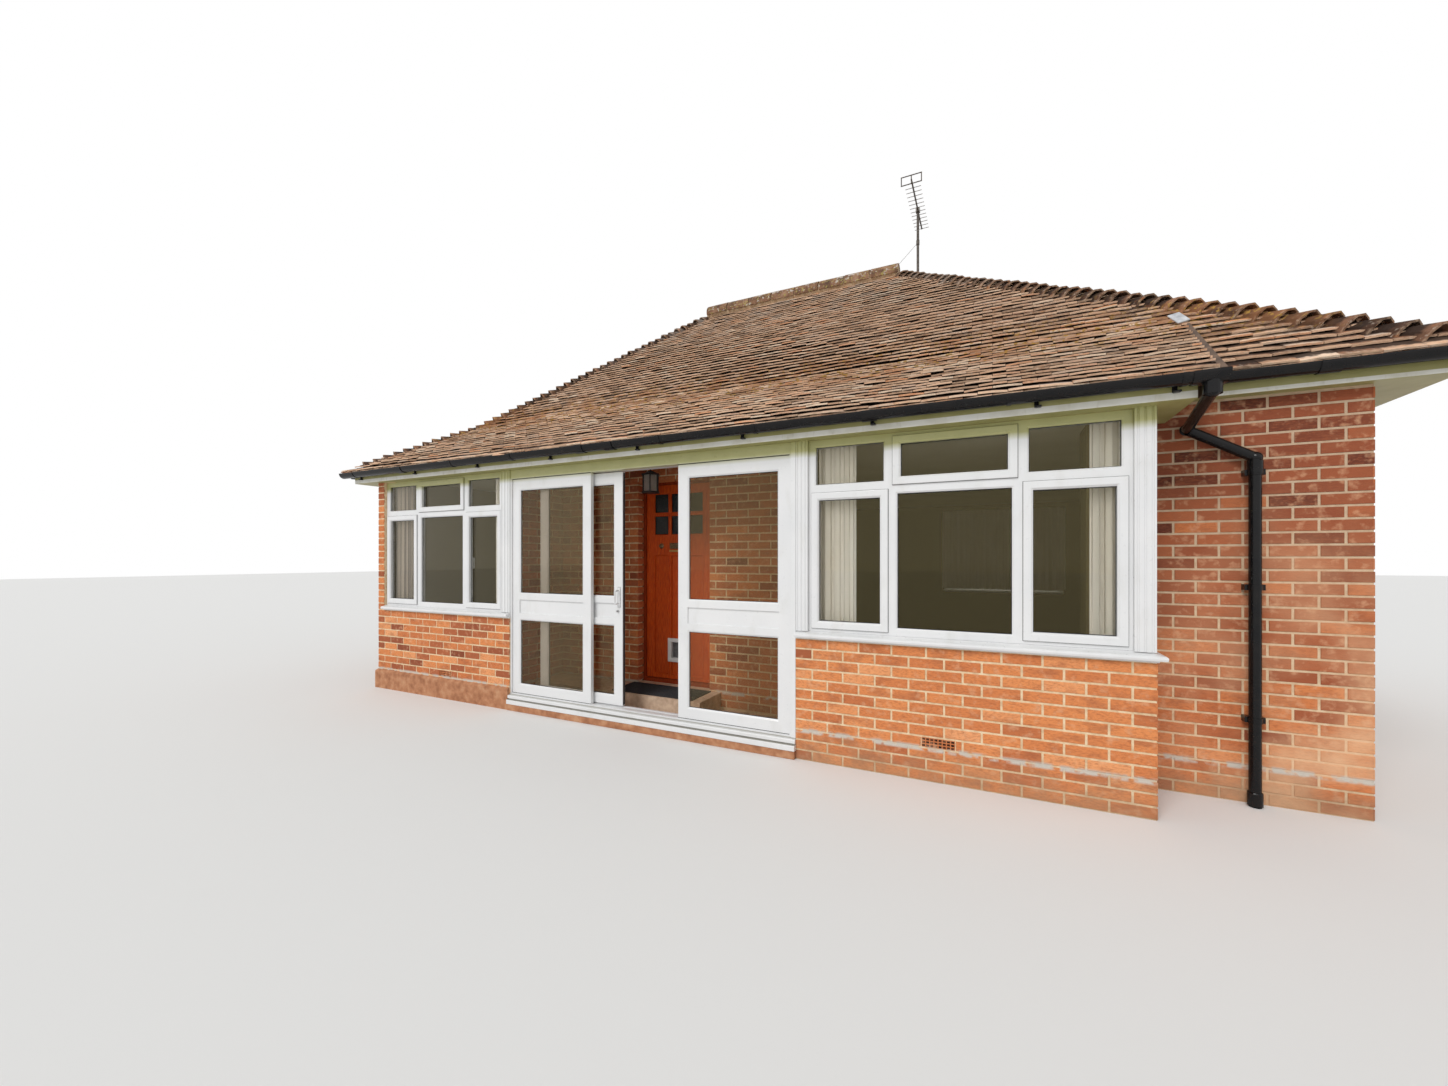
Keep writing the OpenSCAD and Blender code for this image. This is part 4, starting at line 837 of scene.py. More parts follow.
chance = random.Random(71)
ridge_count, ridge_lap, wander = 8, 0.016, 0.003
ridge_run = (ridge_right - ridge_left) / ridge_count
ridge_caps = blank()
for n in range(ridge_count):
    a = Vector((ridge_left + n * ridge_run + 0.007, ridge_back + chance.uniform(-wander, wander),
                ridge_top - 0.005 + chance.uniform(-0.002, wander)))
    b = a + Vector((ridge_run - (0 if n == ridge_count - 1 else ridge_lap), chance.uniform(-wander, wander),
                    chance.uniform(-wander, wander)))
    cap_tile(ridge_caps, a, b, 0.113, 0.112, 112, 0, 0.5, 24)
piece("ridge_caps", ridge_caps, ridge_clay)
repaint("ridge_tiles", bedding)

bonnet_step, bonnet_reach, bonnet_under = 0.118, 0.165, 0.103
bonnet_tail, bonnet_head, bonnet_arc = 0.122, 0.072, 80
bonnets = blank(along=True)
for top, bottom in ((ridge_start, break_hip), (break_hip, left_foot), (ridge_end, wing_foot),
                    (ridge_end, rear_right_foot), (ridge_start, rear_left_foot)):
    top, bottom = Vector(top), Vector(bottom)
    run = top - bottom
    count = round(run.length / bonnet_step)
    for n in range(count):
        under = Vector((0, 0, bonnet_under + chance.uniform(-0.004, 0.004)))
        tail = bottom + run / count * (n - 0.1) - under
        if bottom.y < eave_wing and n < 2:
            continue
        cap_tile(bonnets, tail, tail + run.normalized() * bonnet_reach,
                 bonnet_tail + chance.uniform(-0.006, 0.006),
                 bonnet_head, bonnet_arc, chance.uniform(0.04, 0.10),
                 min(0.8, max(0.05, chance.gauss(0.17, 0.08))), 12)
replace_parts(piece("bonnet_tiles", bonnets, tile_clay), "hip_tiles")

# Each window is welded from white plastic profiles: a frame with mullions and a transom, and
# opening sashes that stand proud of it, with black gaskets round the glass. Close under the
# eaves the profiles are dark olive: painted shade with a green cast of reflected light, over a
# little dust.
white, tree, shader = finish("white_moulded_plastic", 0.32, {"Coat Weight": 0.15})
clean = shades(tree, mottle(tree, 3, 4), [(0.3, (0.75, 0.755, 0.76)), (0.7, (0.80, 0.80, 0.80))])
grime = window_of(tree, mottle(tree, 9, 7, (1, 1, 0.4)), 0.55, 0.8, 0.0, 0.3)
clean = layer(tree, grime, clean, (0.56, 0.55, 0.50))
up = axes(tree)["Z"]
# Dark lines at 105 and 148 mm up, along the threshold's grooves, are painted shade in the grooves, over a
# little dirt.
for groove in (0.105, 0.148):
    line = combine(tree, window_of(tree, up, groove - 0.003, groove),
                   window_of(tree, up, groove + 0.004, groove + 0.009, 1.0, 0.0))
    clean = layer(tree, combine(tree, line, 0.75), clean, (0.24, 0.22, 0.17))
spot = axes(tree)
# Close under the soffit, front faces take a dark olive: painted shade with a green cast of reflected light.
under_eaves_shade = combine(tree, window_of(tree, up, 2.24, 2.29, 0.0, 0.92),
                    window_of(tree, spot["Y"], -3.21, -3.20, 1.0, 0.0))
clean = layer(tree, under_eaves_shade, clean, layer(tree, mottle(tree, 7, 5), (0.34, 0.33, 0.09), (0.47, 0.46, 0.17)))
tree.links.new(clean, shader.inputs["Base Color"])
tree.links.new(window_of(tree, mottle(tree, 40, 4), 0.3, 0.7, 0.26, 0.42), shader.inputs["Roughness"])
gasket = plain_finish("black_gasket", 0.6, (90, 3), [(0.3, (0.02, 0.02, 0.02)), (0.7, (0.05, 0.05, 0.05))])


def bar(shape, low, high, soft=0.003, steps=2, lie=None):
    """A bar with eased edges between two corners."""
    one = bmesh.new()
    low, high = Vector(low), Vector(high)
    bmesh.ops.create_cube(one, size=1,
                          matrix=Matrix.Translation((low + high) / 2) @ Matrix.Diagonal(high - low).to_4x4())
    if soft:
        ease(one, one.edges[:], soft, steps)
    add_to(shape, one, lie)


def welded(shape, lie, xs, zs, near, far, holes, bead=0.010, fall=0.007, soft=0.003, sunk=(), sink=0.013):
    """A frame over the columns xs and rows zs, from y = near to y = far. Each hole is a column and
    a row, with a sloping bead round it, and each sunk field is pressed in at the front."""
    one = bmesh.new()
    rims, loops = [], [[] for _ in holes]
    for y, facing in ((near, -1), (far, 1)):
        grid = bmesh.ops.create_grid(one, x_segments=len(xs) - 1, y_segments=len(zs) - 1, size=0.5)["verts"]
        for v in grid:
            i, j = round((v.co.x + 0.5) * (len(xs) - 1)), round((v.co.y + 0.5) * (len(zs) - 1))
            v.co = (xs[i], y, zs[j])
        faces = list({f for v in grid for f in v.link_faces})
        one.normal_update()
        if facing > 0:
            bmesh.ops.reverse_faces(one, faces=faces)
        rims += [e for f in faces for e in f.edges if len(e.link_faces) == 1]
        field = {}
        for f in faces:
            middle = f.calc_center_median()
            field[(sum(x < middle.x for x in xs) - 1, sum(z < middle.z for z in zs) - 1)] = f
        if facing < 0:
            for where in sunk:
                bmesh.ops.inset_individual(one, faces=[field[where]], thickness=0.004, depth=-sink,
                                           use_even_offset=True)
        for n, where in enumerate(holes):
            if bead:
                bmesh.ops.inset_individual(one, faces=[field[where]], thickness=bead, depth=-fall,
                                           use_even_offset=True)
            loops[n] += field[where].edges[:]
            bmesh.ops.delete(one, geom=[field[where]], context="FACES_ONLY")
    for loop in loops:
        bmesh.ops.bridge_loops(one, edges=loop)
    bmesh.ops.bridge_loops(one, edges=rims)
    if soft:
        ease(one, rims, soft, 2)
    outwards(one)
    add_to(shape, one, lie)


frame_deep, frame_face, bar_face, sash_face, sash_out = 0.070, 0.045, 0.072, 0.042, 0.014
mullion_at = (0.3, 0.705)
pane_front = 0.023
frame_front = front + 0.030
sill_top = 0.955
transom_up = 1.990 - sill_top


def ring(shape, lie, x0, x1, z0, z1, face, near, far, **how):
    """A plain frame with one hole."""
    welded(shape, lie, [x0, x0 + face, x1 - face, x1], [z0, z0 + face, z1 - face, z1], near, far, [(1, 1)],
           **how)


def window(shape, gaskets_and_shade, lie, wide, tall):
    """Three lights over and under a transom. The outer lower lights and the middle upper one open."""
    cols = [0, frame_face]
    for share in mullion_at:
        cols += [share * wide - bar_face / 2, share * wide + bar_face / 2]
    cols += [wide - frame_face, wide]
    rows = [0, frame_face, transom_up - bar_face / 2, transom_up + bar_face / 2, tall - frame_face, tall]
    lights = [(c, r) for c in (1, 3, 5) for r in (1, 3)]
    welded(shape, lie, cols, rows, 0, frame_deep, lights)
    for c, r in lights:
        edge = 0.010
        x0, x1, z0, z1 = cols[c], cols[c + 1], rows[r], rows[r + 1]
        if (c, r) in ((1, 1), (5, 1), (3, 3)):
            edge = sash_face / 2 + 0.012
            lap = sash_face / 2
            ring(shape, lie, x0 - lap, x1 + lap, z0 - lap, z1 + lap, sash_face, -sash_out, frame_deep - 0.012,
                 bead=0.012, fall=0.009, soft=0.004)
            # A thin dark ring round each opening sash is painted shade in the gap between sash and frame.
            ring(gaskets_and_shade, lie, x0 - lap - 0.003, x1 + lap + 0.003, z0 - lap - 0.003, z1 + lap + 0.003, 0.0045,
                 -0.0012, 0.002,
                 bead=0, soft=0)
            if r == 1:
                grip = x1 - 0.004 if c == 1 else x0 + 0.004
                bar(shape, (grip - 0.014, frame_deep - 0.014, 0.50), (grip + 0.014, frame_deep - 0.004, 0.56),
                    0.003, lie=lie)
                bar(shape, (grip - 0.009, frame_deep - 0.006, 0.43),
                    (grip + 0.009, frame_deep + 0.022, 0.545), 0.004, lie=lie)
        x0, x1, z0, z1 = x0 + edge - 0.001, x1 - edge + 0.001, z0 + edge - 0.001, z1 - edge + 0.001
        ring(gaskets_and_shade, lie, x0, x1, z0, z1, 0.005, pane_front - 0.004, pane_front, bead=0, soft=0)


left_window_at = left + 0.100
left_window_wide = porch_left - 0.125 - left_window_at
right_window_at = porch_right + 0.090
right_window_wide = bay_right - 0.103 - right_window_at
window_tall = low_soffit - sill_top
gaskets_and_shade = bmesh.new()
left_frame = bmesh.new()
window(left_frame, gaskets_and_shade, Matrix.Translation((left_window_at, frame_front, sill_top)), left_window_wide,
       window_tall)
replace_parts(piece("left_window", left_frame, white), "left_window_frame")
right_frame = bmesh.new()
window(right_frame, gaskets_and_shade, Matrix.Translation((right_window_at, frame_front, sill_top)), right_window_wide,
       window_tall)
side_light = Matrix.Translation((bay_right - 0.030, frame_front + frame_deep,
                                 sill_top)) @ Matrix.Rotation(math.radians(90), 4, "Z")
ring(right_frame, side_light, 0, wing_face - frame_front - frame_deep, 0, window_tall, frame_face, 0,
     frame_deep)
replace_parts(piece("right_window", right_frame, white), "right_window_frame")
rear_frames = bmesh.new()
rear_window_at = (left + 0.9, right - 2.7)
rear_window_wide = 1.8
for at in rear_window_at:
    back = Matrix.Translation((at + rear_window_wide, rear - 0.030,
                               sill_top)) @ Matrix.Rotation(math.radians(180), 4, "Z")
    window(rear_frames, gaskets_and_shade, back, rear_window_wide, window_tall - bar_face)
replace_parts(piece("rear_windows", rear_frames, white), "rear_window_frames")
piece("window_gaskets_and_shade_lines", gaskets_and_shade, gasket)
repaint("moulded_posts", white)

# Sills of the same plastic slope to a nose with a drip under it, and turn the corner with
# the right bay. They are bedded on the dwarf walls.
def moulding(shape, profile, path):
    """A strip of this profile, (outwards, up) points, mitred along the path, with its outside to
    the right of the way along."""
    one = bmesh.new()
    path = [Vector(p) for p in path]
    rings = []
    for n, here in enumerate(path):
        before = (here - path[n - 1]) if n else (path[1] - here)
        after = (path[n + 1] - here) if n + 1 < len(path) else before
        a, b = (Vector((d.y, -d.x, 0)).normalized() for d in (before, after))
        out = (a + b) / (1 + a.dot(b))
        around = bmesh.ops.create_circle(one, cap_ends=False, segments=len(profile), radius=1)["verts"]
        for v, (o, up) in zip(around, profile):
            v.co = here + out * o + Vector((0, 0, up))
        rings.append(list({e for v in around for e in v.link_edges}))
    for a, b in zip(rings, rings[1:]):
        bmesh.ops.bridge_loops(one, edges=a + b)
    for end in (rings[0], rings[-1]):
        bmesh.ops.edgeloop_fill(one, edges=end)
    outwards(one)
    add_to(shape, one)


sill_profile = [(-0.070, 0.055), (0.0, 0.055), (0.066, 0.041), (0.073, 0.036), (0.075, 0.026), (0.072, 0.014),
                (0.062, 0.014), (0.060, 0.022), (0.045, 0.024), (0.040, 0.0), (-0.070, 0.0)]
sills = bmesh.new()
moulding(sills, sill_profile,
         [(left + 0.100, frame_front, sill_under), (porch_left - 0.001, frame_front, sill_under)])
moulding(sills, sill_profile,
         [(porch_right + 0.001, frame_front, sill_under), (bay_right - 0.030, frame_front, sill_under),
          (bay_right - 0.030, wing_face - 0.001, sill_under)])
for at in rear_window_at:
    moulding(sills, sill_profile,
             [(at + rear_window_wide, rear - 0.030, sill_under), (at, rear - 0.030, sill_under)])
for at in rear_window_at:
    bar(sills, (at, rear - 0.270, 0.925), (at + rear_window_wide, rear - 0.095, sill_top), 0.004)
bar(sills, (left + 0.27, front + 0.095, 0.925), (porch_left - 0.10, front + 0.27, sill_top), 0.004)
bar(sills, (porch_right + 0.10, front + 0.095, 0.925), (bay_right - 0.10, front + 0.27, sill_top), 0.004)
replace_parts(piece("sills", sills, white), "window_sills")

# The glass is clear, with a slight bronze tint and the unevenness of large sheets. The porch's
# sheets are darker, painted shade for the porch behind them.
for kind, dim, bright, panes in (("window_glass_clear", (0.90, 0.88, 0.82), (0.94, 0.93, 0.88),
                                  ("window_glass",)),
                                 ("porch_glass_bronze", (0.71, 0.65, 0.57), (0.77, 0.72, 0.65),
                                  ("fixed_panel_glass", "sliding_panel_glass"))):
    glass, tree, shader = finish(kind, 0.02)
    shader.inputs["Transmission Weight"].default_value = 1.0
    shader.inputs["IOR"].default_value = 1.45
    shader.inputs["Specular IOR Level"].default_value = 0.11
    # The reflections are tinted warm yellow: a painted reflection of the surroundings.
    shader.inputs["Specular Tint"].default_value = (1.0, 0.84, 0.45, 1)
    tree.links.new(shades(tree, mottle(tree, 1.2, 3), [(0.3, dim), (0.7, bright)]),
                   shader.inputs["Base Color"])
    relief(tree, shader, mottle(tree, 2.5, 2), 0.002, 0.3)
    for name in panes:
        repaint(name, glass)


# The porch is closed by a screen of the same plastic: a fixed panel at each side and a sliding
# panel behind them, each with a sunk band between two lights, on a stepped threshold.
screen_near, screen_far = front + 0.010, front + 0.135
track_top, opening_top = 0.160, 2.278
left_jamb, right_jamb = 0.018, 0.053
base_top = 0.062
screen = bmesh.new()
welded(screen, None, [porch_left, porch_left + left_jamb, porch_right - right_jamb, porch_right],
       [0, track_top, opening_top, low_soffit], screen_near, screen_far, [(1, 1)], bead=0, soft=0.002)
moulding(screen,
         [(0.001, 0.0), (0.049, 0.0), (0.052, 0.004), (0.052, 0.038), (0.048, 0.043), (0.024, 0.044),
          (0.024, 0.053),
          (0.036, 0.055), (0.036, 0.078), (0.032, 0.083), (0.006, 0.084), (0.006, 0.098), (0.001, 0.098)],
         [(porch_left, screen_near, base_top), (porch_right, screen_near, base_top)])
bar(screen, (porch_right - 0.036, front - 0.004, 0.045),
    (porch_right - 0.001, screen_near + 0.002, low_soffit), 0.002)
bar(screen, (porch_left + left_jamb, screen_near + 0.004, track_top),
    (porch_right - right_jamb, screen_near + 0.014, track_top + 0.004), 0.001)
slide_near = front + 0.077
panel_deep = 0.040
bar(screen, (porch_left + left_jamb, slide_near + 0.016, track_top),
    (porch_right - right_jamb, slide_near + 0.024, track_top + 0.005), 0.001)
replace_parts(piece("porch_screen", screen, white), "screen_frame")
plinths = bmesh.new()
bar(plinths, (porch_left + 0.001, screen_near - 0.046, 0.0),
    (porch_right - 0.001, screen_near - 0.001, base_top), 0.006)
moulding(plinths, [(0.004, 0.0), (0.028, 0.0), (0.028, 0.190), (0.022, 0.200), (0.004, 0.214)],
         [(left, rear, 0), (left, front, 0), (porch_left - 0.001, front, 0)])
rendered = plain_finish("rough_render", 0.95, (14, 7),
                        [(0.3, (0.32, 0.13, 0.06)), (0.55, (0.48, 0.22, 0.11)), (0.8, (0.60, 0.35, 0.20))],
                        ((70, 6), 0.006, 0.9))
piece("plinth_render", plinths, rendered)

panel_wide, stile, band = 0.985, 0.090, 0.055
low_rail, low_light, high_light, panel_high, top_rail = 0.250, 0.897, 1.143, 2.270, 0.097


def glazed_panel(shape, gaskets_and_shade, at, near, foot, head):
    """A panel with a low and a high light, and a band between them."""
    xs = [at, at + stile, at + panel_wide - stile, at + panel_wide]
    zs = [foot, low_rail, low_light, low_light + band, high_light - band, high_light, panel_high - top_rail,
          head]
    welded(shape, None, xs, zs, near, near + panel_deep, [(1, 1), (1, 5)], bead=0.012, fall=0.008,
           sunk=[(1, 3)])
    pane = near + panel_deep / 2 - 0.003
    for z0, z1 in ((low_rail, low_light), (high_light, panel_high - top_rail)):
        ring(gaskets_and_shade, None, xs[1] + 0.011, xs[2] - 0.011, z0 + 0.011, z1 - 0.011, 0.005, pane - 0.004, pane,
             bead=0, soft=0)


fixed_near = front + 0.025
fixed = bmesh.new()
fixed_gaskets_and_shadows = bmesh.new()
for at in (porch_left + left_jamb, porch_right - right_jamb - panel_wide):
    glazed_panel(fixed, fixed_gaskets_and_shadows, at, fixed_near, track_top, opening_top)
    # Dark strips along the foot and the head of each fixed panel are painted shadow lines.
    bar(fixed_gaskets_and_shadows, (at, fixed_near - 0.002, track_top + 0.0005),
        (at + panel_wide, fixed_near, track_top + 0.008), 0.001)
    bar(fixed_gaskets_and_shadows, (at, fixed_near - 0.002, opening_top - 0.006),
        (at + panel_wide, fixed_near, opening_top - 0.0005), 0.001)
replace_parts(piece("fixed_screen_panels", fixed, white), "fixed_panels")
piece("fixed_panel_gaskets_and_shadow_lines", fixed_gaskets_and_shadows, gasket)

slide_at = porch_left + 0.335
slider = bmesh.new()
slider_gaskets_and_shade = bmesh.new()
glazed_panel(slider, slider_gaskets_and_shade, slide_at, slide_near, track_top + 0.011, panel_high)
grip_x1 = slide_at + panel_wide - 0.034
grip_x0 = grip_x1 - 0.028
bar(slider, (grip_x0, slide_near - 0.048, 1.080), (grip_x0 + 0.011, slide_near - 0.034, 1.210), 0.005, 3)
for z in (1.080, 1.196):
    bar(slider, (grip_x0, slide_near - 0.048, z), (grip_x1, slide_near - 0.034, z + 0.014), 0.005, 3)
    bar(slider, (grip_x1 - 0.011, slide_near - 0.048, z), (grip_x1, slide_near + 0.001, z + 0.014), 0.005, 3)
bar(slider, (grip_x1 - 0.016, slide_near - 0.006, 1.060), (grip_x1 + 0.008, slide_near + 0.001, 1.230), 0.003)
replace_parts(piece("sliding_screen_panel", slider, white, "porch_slider"),
            "sliding_panel")
# A dark strip on the slider's free edge is painted shade on that edge.
bar(slider_gaskets_and_shade, (slide_at + panel_wide, slide_near + 0.006, track_top + 0.02),
    (slide_at + panel_wide + 0.003, slide_near + 0.034, 2.262), 0.001)
piece("sliding_panel_gaskets_and_shade_line", slider_gaskets_and_shade, gasket, "porch_slider")


def turned(shape, outline, lie, steps=24):
    """A round part: (radius, height) points spun round the z axis, then laid in place."""
    one = bmesh.new()
    points = [bmesh.ops.create_vert(one, co=(r, 0, h))["vert"][0] for r, h in outline]
    lines = [one.edges.new(pair) for pair in zip(points, points[1:])]
    bmesh.ops.spin(one, geom=points + lines, cent=(0, 0, 0), axis=(0, 0, 1), angle=math.tau, steps=steps,
                   use_merge=True)
    bmesh.ops.remove_doubles(one, verts=one.verts[:], dist=0.00001)
    outwards(one)
    add_to(shape, one, lie)


bright = plain_finish("worn_aluminium", 0.35, (70, 4), [(0.3, (0.42, 0.42, 0.42)), (0.7, (0.60, 0.60, 0.60))],
                      also={"Metallic": 1.0})
lengthways = Matrix.Rotation(math.radians(90), 4, "X")
lock = bmesh.new()
lock_x = (grip_x0 + grip_x1) / 2
bar(lock, (grip_x1 - 0.021, slide_near - 0.002, 1.052), (grip_x1 + 0.013, slide_near + 0.001, 1.238), 0.001)
turned(lock, [(0.0, 0.012), (0.009, 0.012), (0.011, 0.010), (0.011, 0.0)],
       Matrix.Translation((lock_x, slide_near, 1.020)) @ lengthways)
bar(lock, (lock_x - 0.003, slide_near - 0.030, 1.012), (lock_x + 0.003, slide_near - 0.010, 1.028), 0.002)
for x in (0.120, panel_wide - 0.120):
    turned(lock,
           [(0.004, 0.012), (0.011, 0.012), (0.012, 0.010), (0.0105, 0.007), (0.012, 0.004), (0.011, 0.002),
            (0.004, 0.002)],
           Matrix.Translation((slide_at + x, slide_near + panel_deep / 2 + 0.007,
                               track_top + 0.0173)) @ lengthways)
piece("panel_lock_and_rollers", lock, bright, "porch_slider")

# Painted timber boards close the eaves. They are butted in lengths and streaked with dust. Their
# underside and the fascia above its lowest strip are dark olive: painted shade with a green cast of
# reflected light.
paint, tree, shader = finish("white_gloss_paint", 0.45)
dust_and_shade = shades(tree, mottle(tree, 6, 6),
               [(0.3, (0.62, 0.60, 0.50)), (0.55, (0.74, 0.73, 0.66)), (0.8, (0.78, 0.78, 0.74))])
dust_and_shade = tint_where(tree, dust_and_shade, mottle(tree, 30, 7, (1, 1, 0.3)), 0.58, 0.75, 0.4, (0.42, 0.38, 0.27))
up = axes(tree)["Z"]
soffit_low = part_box("eaves_boards")[0].z
soffit_high = soffit_low + high_eave - low_eave
# Where the boards are dark olive is painted shade with a green cast of reflected light.
green_shade = window_of(tree, up, soffit_low + 0.0005, soffit_low + 0.0015, 1.0, 0.0)
for low, high in ((soffit_low + 0.040, soffit_high + 0.0008), (soffit_high + 0.025, soffit_high + 1)):
    green_shade = combine(tree, green_shade,
                    combine(tree, window_of(tree, up, low, low + 0.002),
                            window_of(tree, up, high, high + 0.001, 1.0, 0.0)), "ADD")
dust_and_shade = layer(tree, green_shade, dust_and_shade, layer(tree, mottle(tree, 8, 6), (0.26, 0.24, 0.07), (0.42, 0.39, 0.17)))
tree.links.new(dust_and_shade, shader.inputs["Base Color"])
relief(tree, shader, mottle(tree, 30, 5, (0.1, 1, 8)), 0.001, 0.4)
repaint("eaves_boards", paint)

# Half-round gutters of black plastic hang in brackets on the fascia, with unions where two
# lengths meet, and one round downpipe with sockets and clips takes the front gutter's water.
black, tree, shader = finish("black_moulded_plastic", 0.25, {"Specular IOR Level": 0.25})
tree.links.new(shades(tree, mottle(tree, 12, 5),
                      [(0.3, (0.005, 0.005, 0.006)), (0.68, (0.010, 0.009, 0.009)),
                       (0.85, (0.04, 0.034, 0.028))]),
               shader.inputs["Base Color"])
tree.links.new(window_of(tree, mottle(tree, 25, 4), 0.3, 0.7, 0.12, 0.24), shader.inputs["Roughness"])
repaint("gutters", black)
repaint("downpipe", black)


def hoop(shape, at, heading, inner, outer, wide):
    """A band under the gutter, from rim to rim."""
    one = bmesh.new()
    frame_one = bmesh.ops.create_grid(one, x_segments=1, y_segments=1, size=0.5)["verts"]
    for v in frame_one:
        v.co = (inner if v.co.x < 0 else outer, wide * v.co.y, 0)
    bmesh.ops.delete(one, geom=one.faces[:], context="FACES_ONLY")
    bmesh.ops.spin(one, geom=one.verts[:] + one.edges[:], cent=(0, 0, 0), axis=(0, 1, 0), angle=math.pi,
                   steps=14)
    bmesh.ops.holes_fill(one, edges=[e for e in one.edges if len(e.link_faces) == 1], sides=4)
    outwards(one)
    add_to(shape, one, Matrix.Translation(at) @ Matrix.Rotation(math.radians(heading), 4, "Z"))


gutter_low, gutter_high = low_eave - 0.040, high_eave - 0.040
gutter_r = 0.056
fascia_front, fascia_wing, fascia_left, fascia_right, fascia_rear = -3.370, -2.830, -4.475, 4.475, 3.370
box_end = 3.222
fittings = bmesh.new()
runs = [((fascia_left, fascia_front - gutter_r, gutter_low), (verge_low, fascia_front - gutter_r, gutter_low),
         90),
        ((verge_low + 0.1, fascia_wing - gutter_r, gutter_high),
         (fascia_right, fascia_wing - gutter_r, gutter_high), 90),
        ((fascia_left - gutter_r, fascia_front, gutter_low),
         (fascia_left - gutter_r, fascia_rear, gutter_low), 0),
        ((fascia_right + gutter_r, fascia_wing, gutter_high),
         (fascia_right + gutter_r, fascia_rear, gutter_high), 0),
        ((rear_left + 0.05, fascia_rear + gutter_r, gutter_high),
         (fascia_right, fascia_rear + gutter_r, gutter_high), 90)]
hook_first, hook_step = -4.340, 0.972
for n in range(9):
    x = min(hook_first + n * hook_step, 3.121)
    bar(fittings, (x - 0.012, fascia_front - 0.014, gutter_low - gutter_r - 0.022),
        (x + 0.012, fascia_front, gutter_low - 0.010), 0.004)
    bar(fittings, (x - 0.008, fascia_front - 0.034, gutter_low - gutter_r - 0.024),
        (x + 0.026, fascia_front, gutter_low - gutter_r - 0.012), 0.004)
hoop(fittings, (-0.699, fascia_front - gutter_r, gutter_low), 90, gutter_r - 0.001, gutter_r + 0.007, 0.10)
for start, end, heading in runs:
    start, end = Vector(start), Vector(end)
    spans = max(2, round((end - start).length / 0.9))
    for n in range(spans + 1):
        at = start.lerp(end, (n + 0.15) / (spans + 0.3))
        union = n % 3 == 1
        hoop(fittings, at, heading, gutter_r - 0.001, gutter_r + (0.006 if union else 0.004),
             0.095 if union else 0.026)
outlet_x = box_end + 0.046
outlet = (outlet_x, fascia_front - gutter_r)
hoop(fittings, (outlet_x - 0.015, outlet[1], gutter_low), 90, gutter_r - 0.001, gutter_r + 0.007, 0.15)
turned(fittings, [(0.041, 0.0), (0.041, 0.075), (0.036, 0.075), (0.036, 0.0), (0.041, 0.0)],
       Matrix.Translation((*outlet, gutter_low - gutter_r - 0.062)))
piece("gutter_fittings", fittings, black)

pipe_x, pipe_y, pipe_r = bay_right + 1.100 * 0.524, wing_face - 0.055, 0.030
sockets = bmesh.new()
collar = [(pipe_r + 0.001, 0.0), (pipe_r + 0.007, 0.0), (pipe_r + 0.007, 0.075), (pipe_r + 0.004, 0.080),
          (pipe_r + 0.001, 0.080), (pipe_r + 0.001, 0.0)]
for z in (2.005, 0.010):
    turned(sockets, collar, Matrix.Translation((pipe_x, pipe_y, z)))
for share in (0.24, 0.62, 0.95):
    z = share * 2.100
    turned(sockets,
           [(pipe_r + 0.001, 0.0), (pipe_r + 0.005, 0.0), (pipe_r + 0.005, 0.032), (pipe_r + 0.001, 0.032),
            (pipe_r + 0.001, 0.0)],
           Matrix.Translation((pipe_x, pipe_y, z + 0.001)))
piece("downpipe_sockets", sockets, black)

# The front door and its frame are varnished timber. Planted mouldings go round its six small
# panes and its three sunk panels.
varnish, tree, shader = finish("varnished_timber", 0.42, {"Specular IOR Level": 0.25})
grain = mottle(tree, 14, 6, (14, 14, 0.9))
wood = shades(tree, grain,
              [(0.3, (0.40, 0.040, 0.004)), (0.5, (0.62, 0.075, 0.008)), (0.7, (0.72, 0.14, 0.018))])
pores = mottle(tree, 60, 4, (16, 16, 0.6))
wood = tint_where(tree, wood, pores, 0.58, 0.7, 0.45, (0.28, 0.025, 0.004))
tree.links.new(wood, shader.inputs["Base Color"])
relief(tree, shader, pores, 0.0006, 0.5)
repaint("front_door", varnish)
# The frame's darker copy of the door's varnish is painted shade in the doorway.
doorway_shade_varnish = plain_finish("dark_varnished_timber", 0.5, (14, 6, (14, 14, 0.9)),
                            [(0.3, (0.20, 0.022, 0.004)), (0.7, (0.40, 0.055, 0.010))],
                            also={"Specular IOR Level": 0.25})
repaint("front_door_frame", doorway_shade_varnish)
leaf_left, leaf_face, leaf_wide = -1.009, -2.420, 0.762
pane_wide, pane_step = 0.1793, 0.2013
pane_rows = ((1.731, 1.9345), (1.9565, 2.160))
mouldings = bmesh.new()
for n in range(3):
    x0 = leaf_left + 0.090 + n * pane_step
    for z0, z1 in pane_rows:
        ring(mouldings, None, x0 - 0.006, x0 + pane_wide + 0.006, z0 - 0.006, z1 + 0.006, 0.010,
             leaf_face - 0.004, leaf_face + 0.016,
             bead=0.005, fall=0.006, soft=0.002)
    ring(mouldings, None, x0 - 0.004, x0 + pane_wide + 0.004, 0.301, 1.532, 0.009, leaf_face - 0.004,
         leaf_face + 0.0118,
         bead=0.007, fall=0.009, soft=0.002)
piece("door_mouldings", mouldings, varnish, "entrance_door")
dark_glass = plain_finish("obscured_glass", 0.08, (60, 3),
                          [(0.3, (0.008, 0.012, 0.014)), (0.7, (0.03, 0.038, 0.042))], ((90, 2), 0.003, 0.6),
                          also={"Specular IOR Level": 0.3})
repaint("front_door_glass", dark_glass)

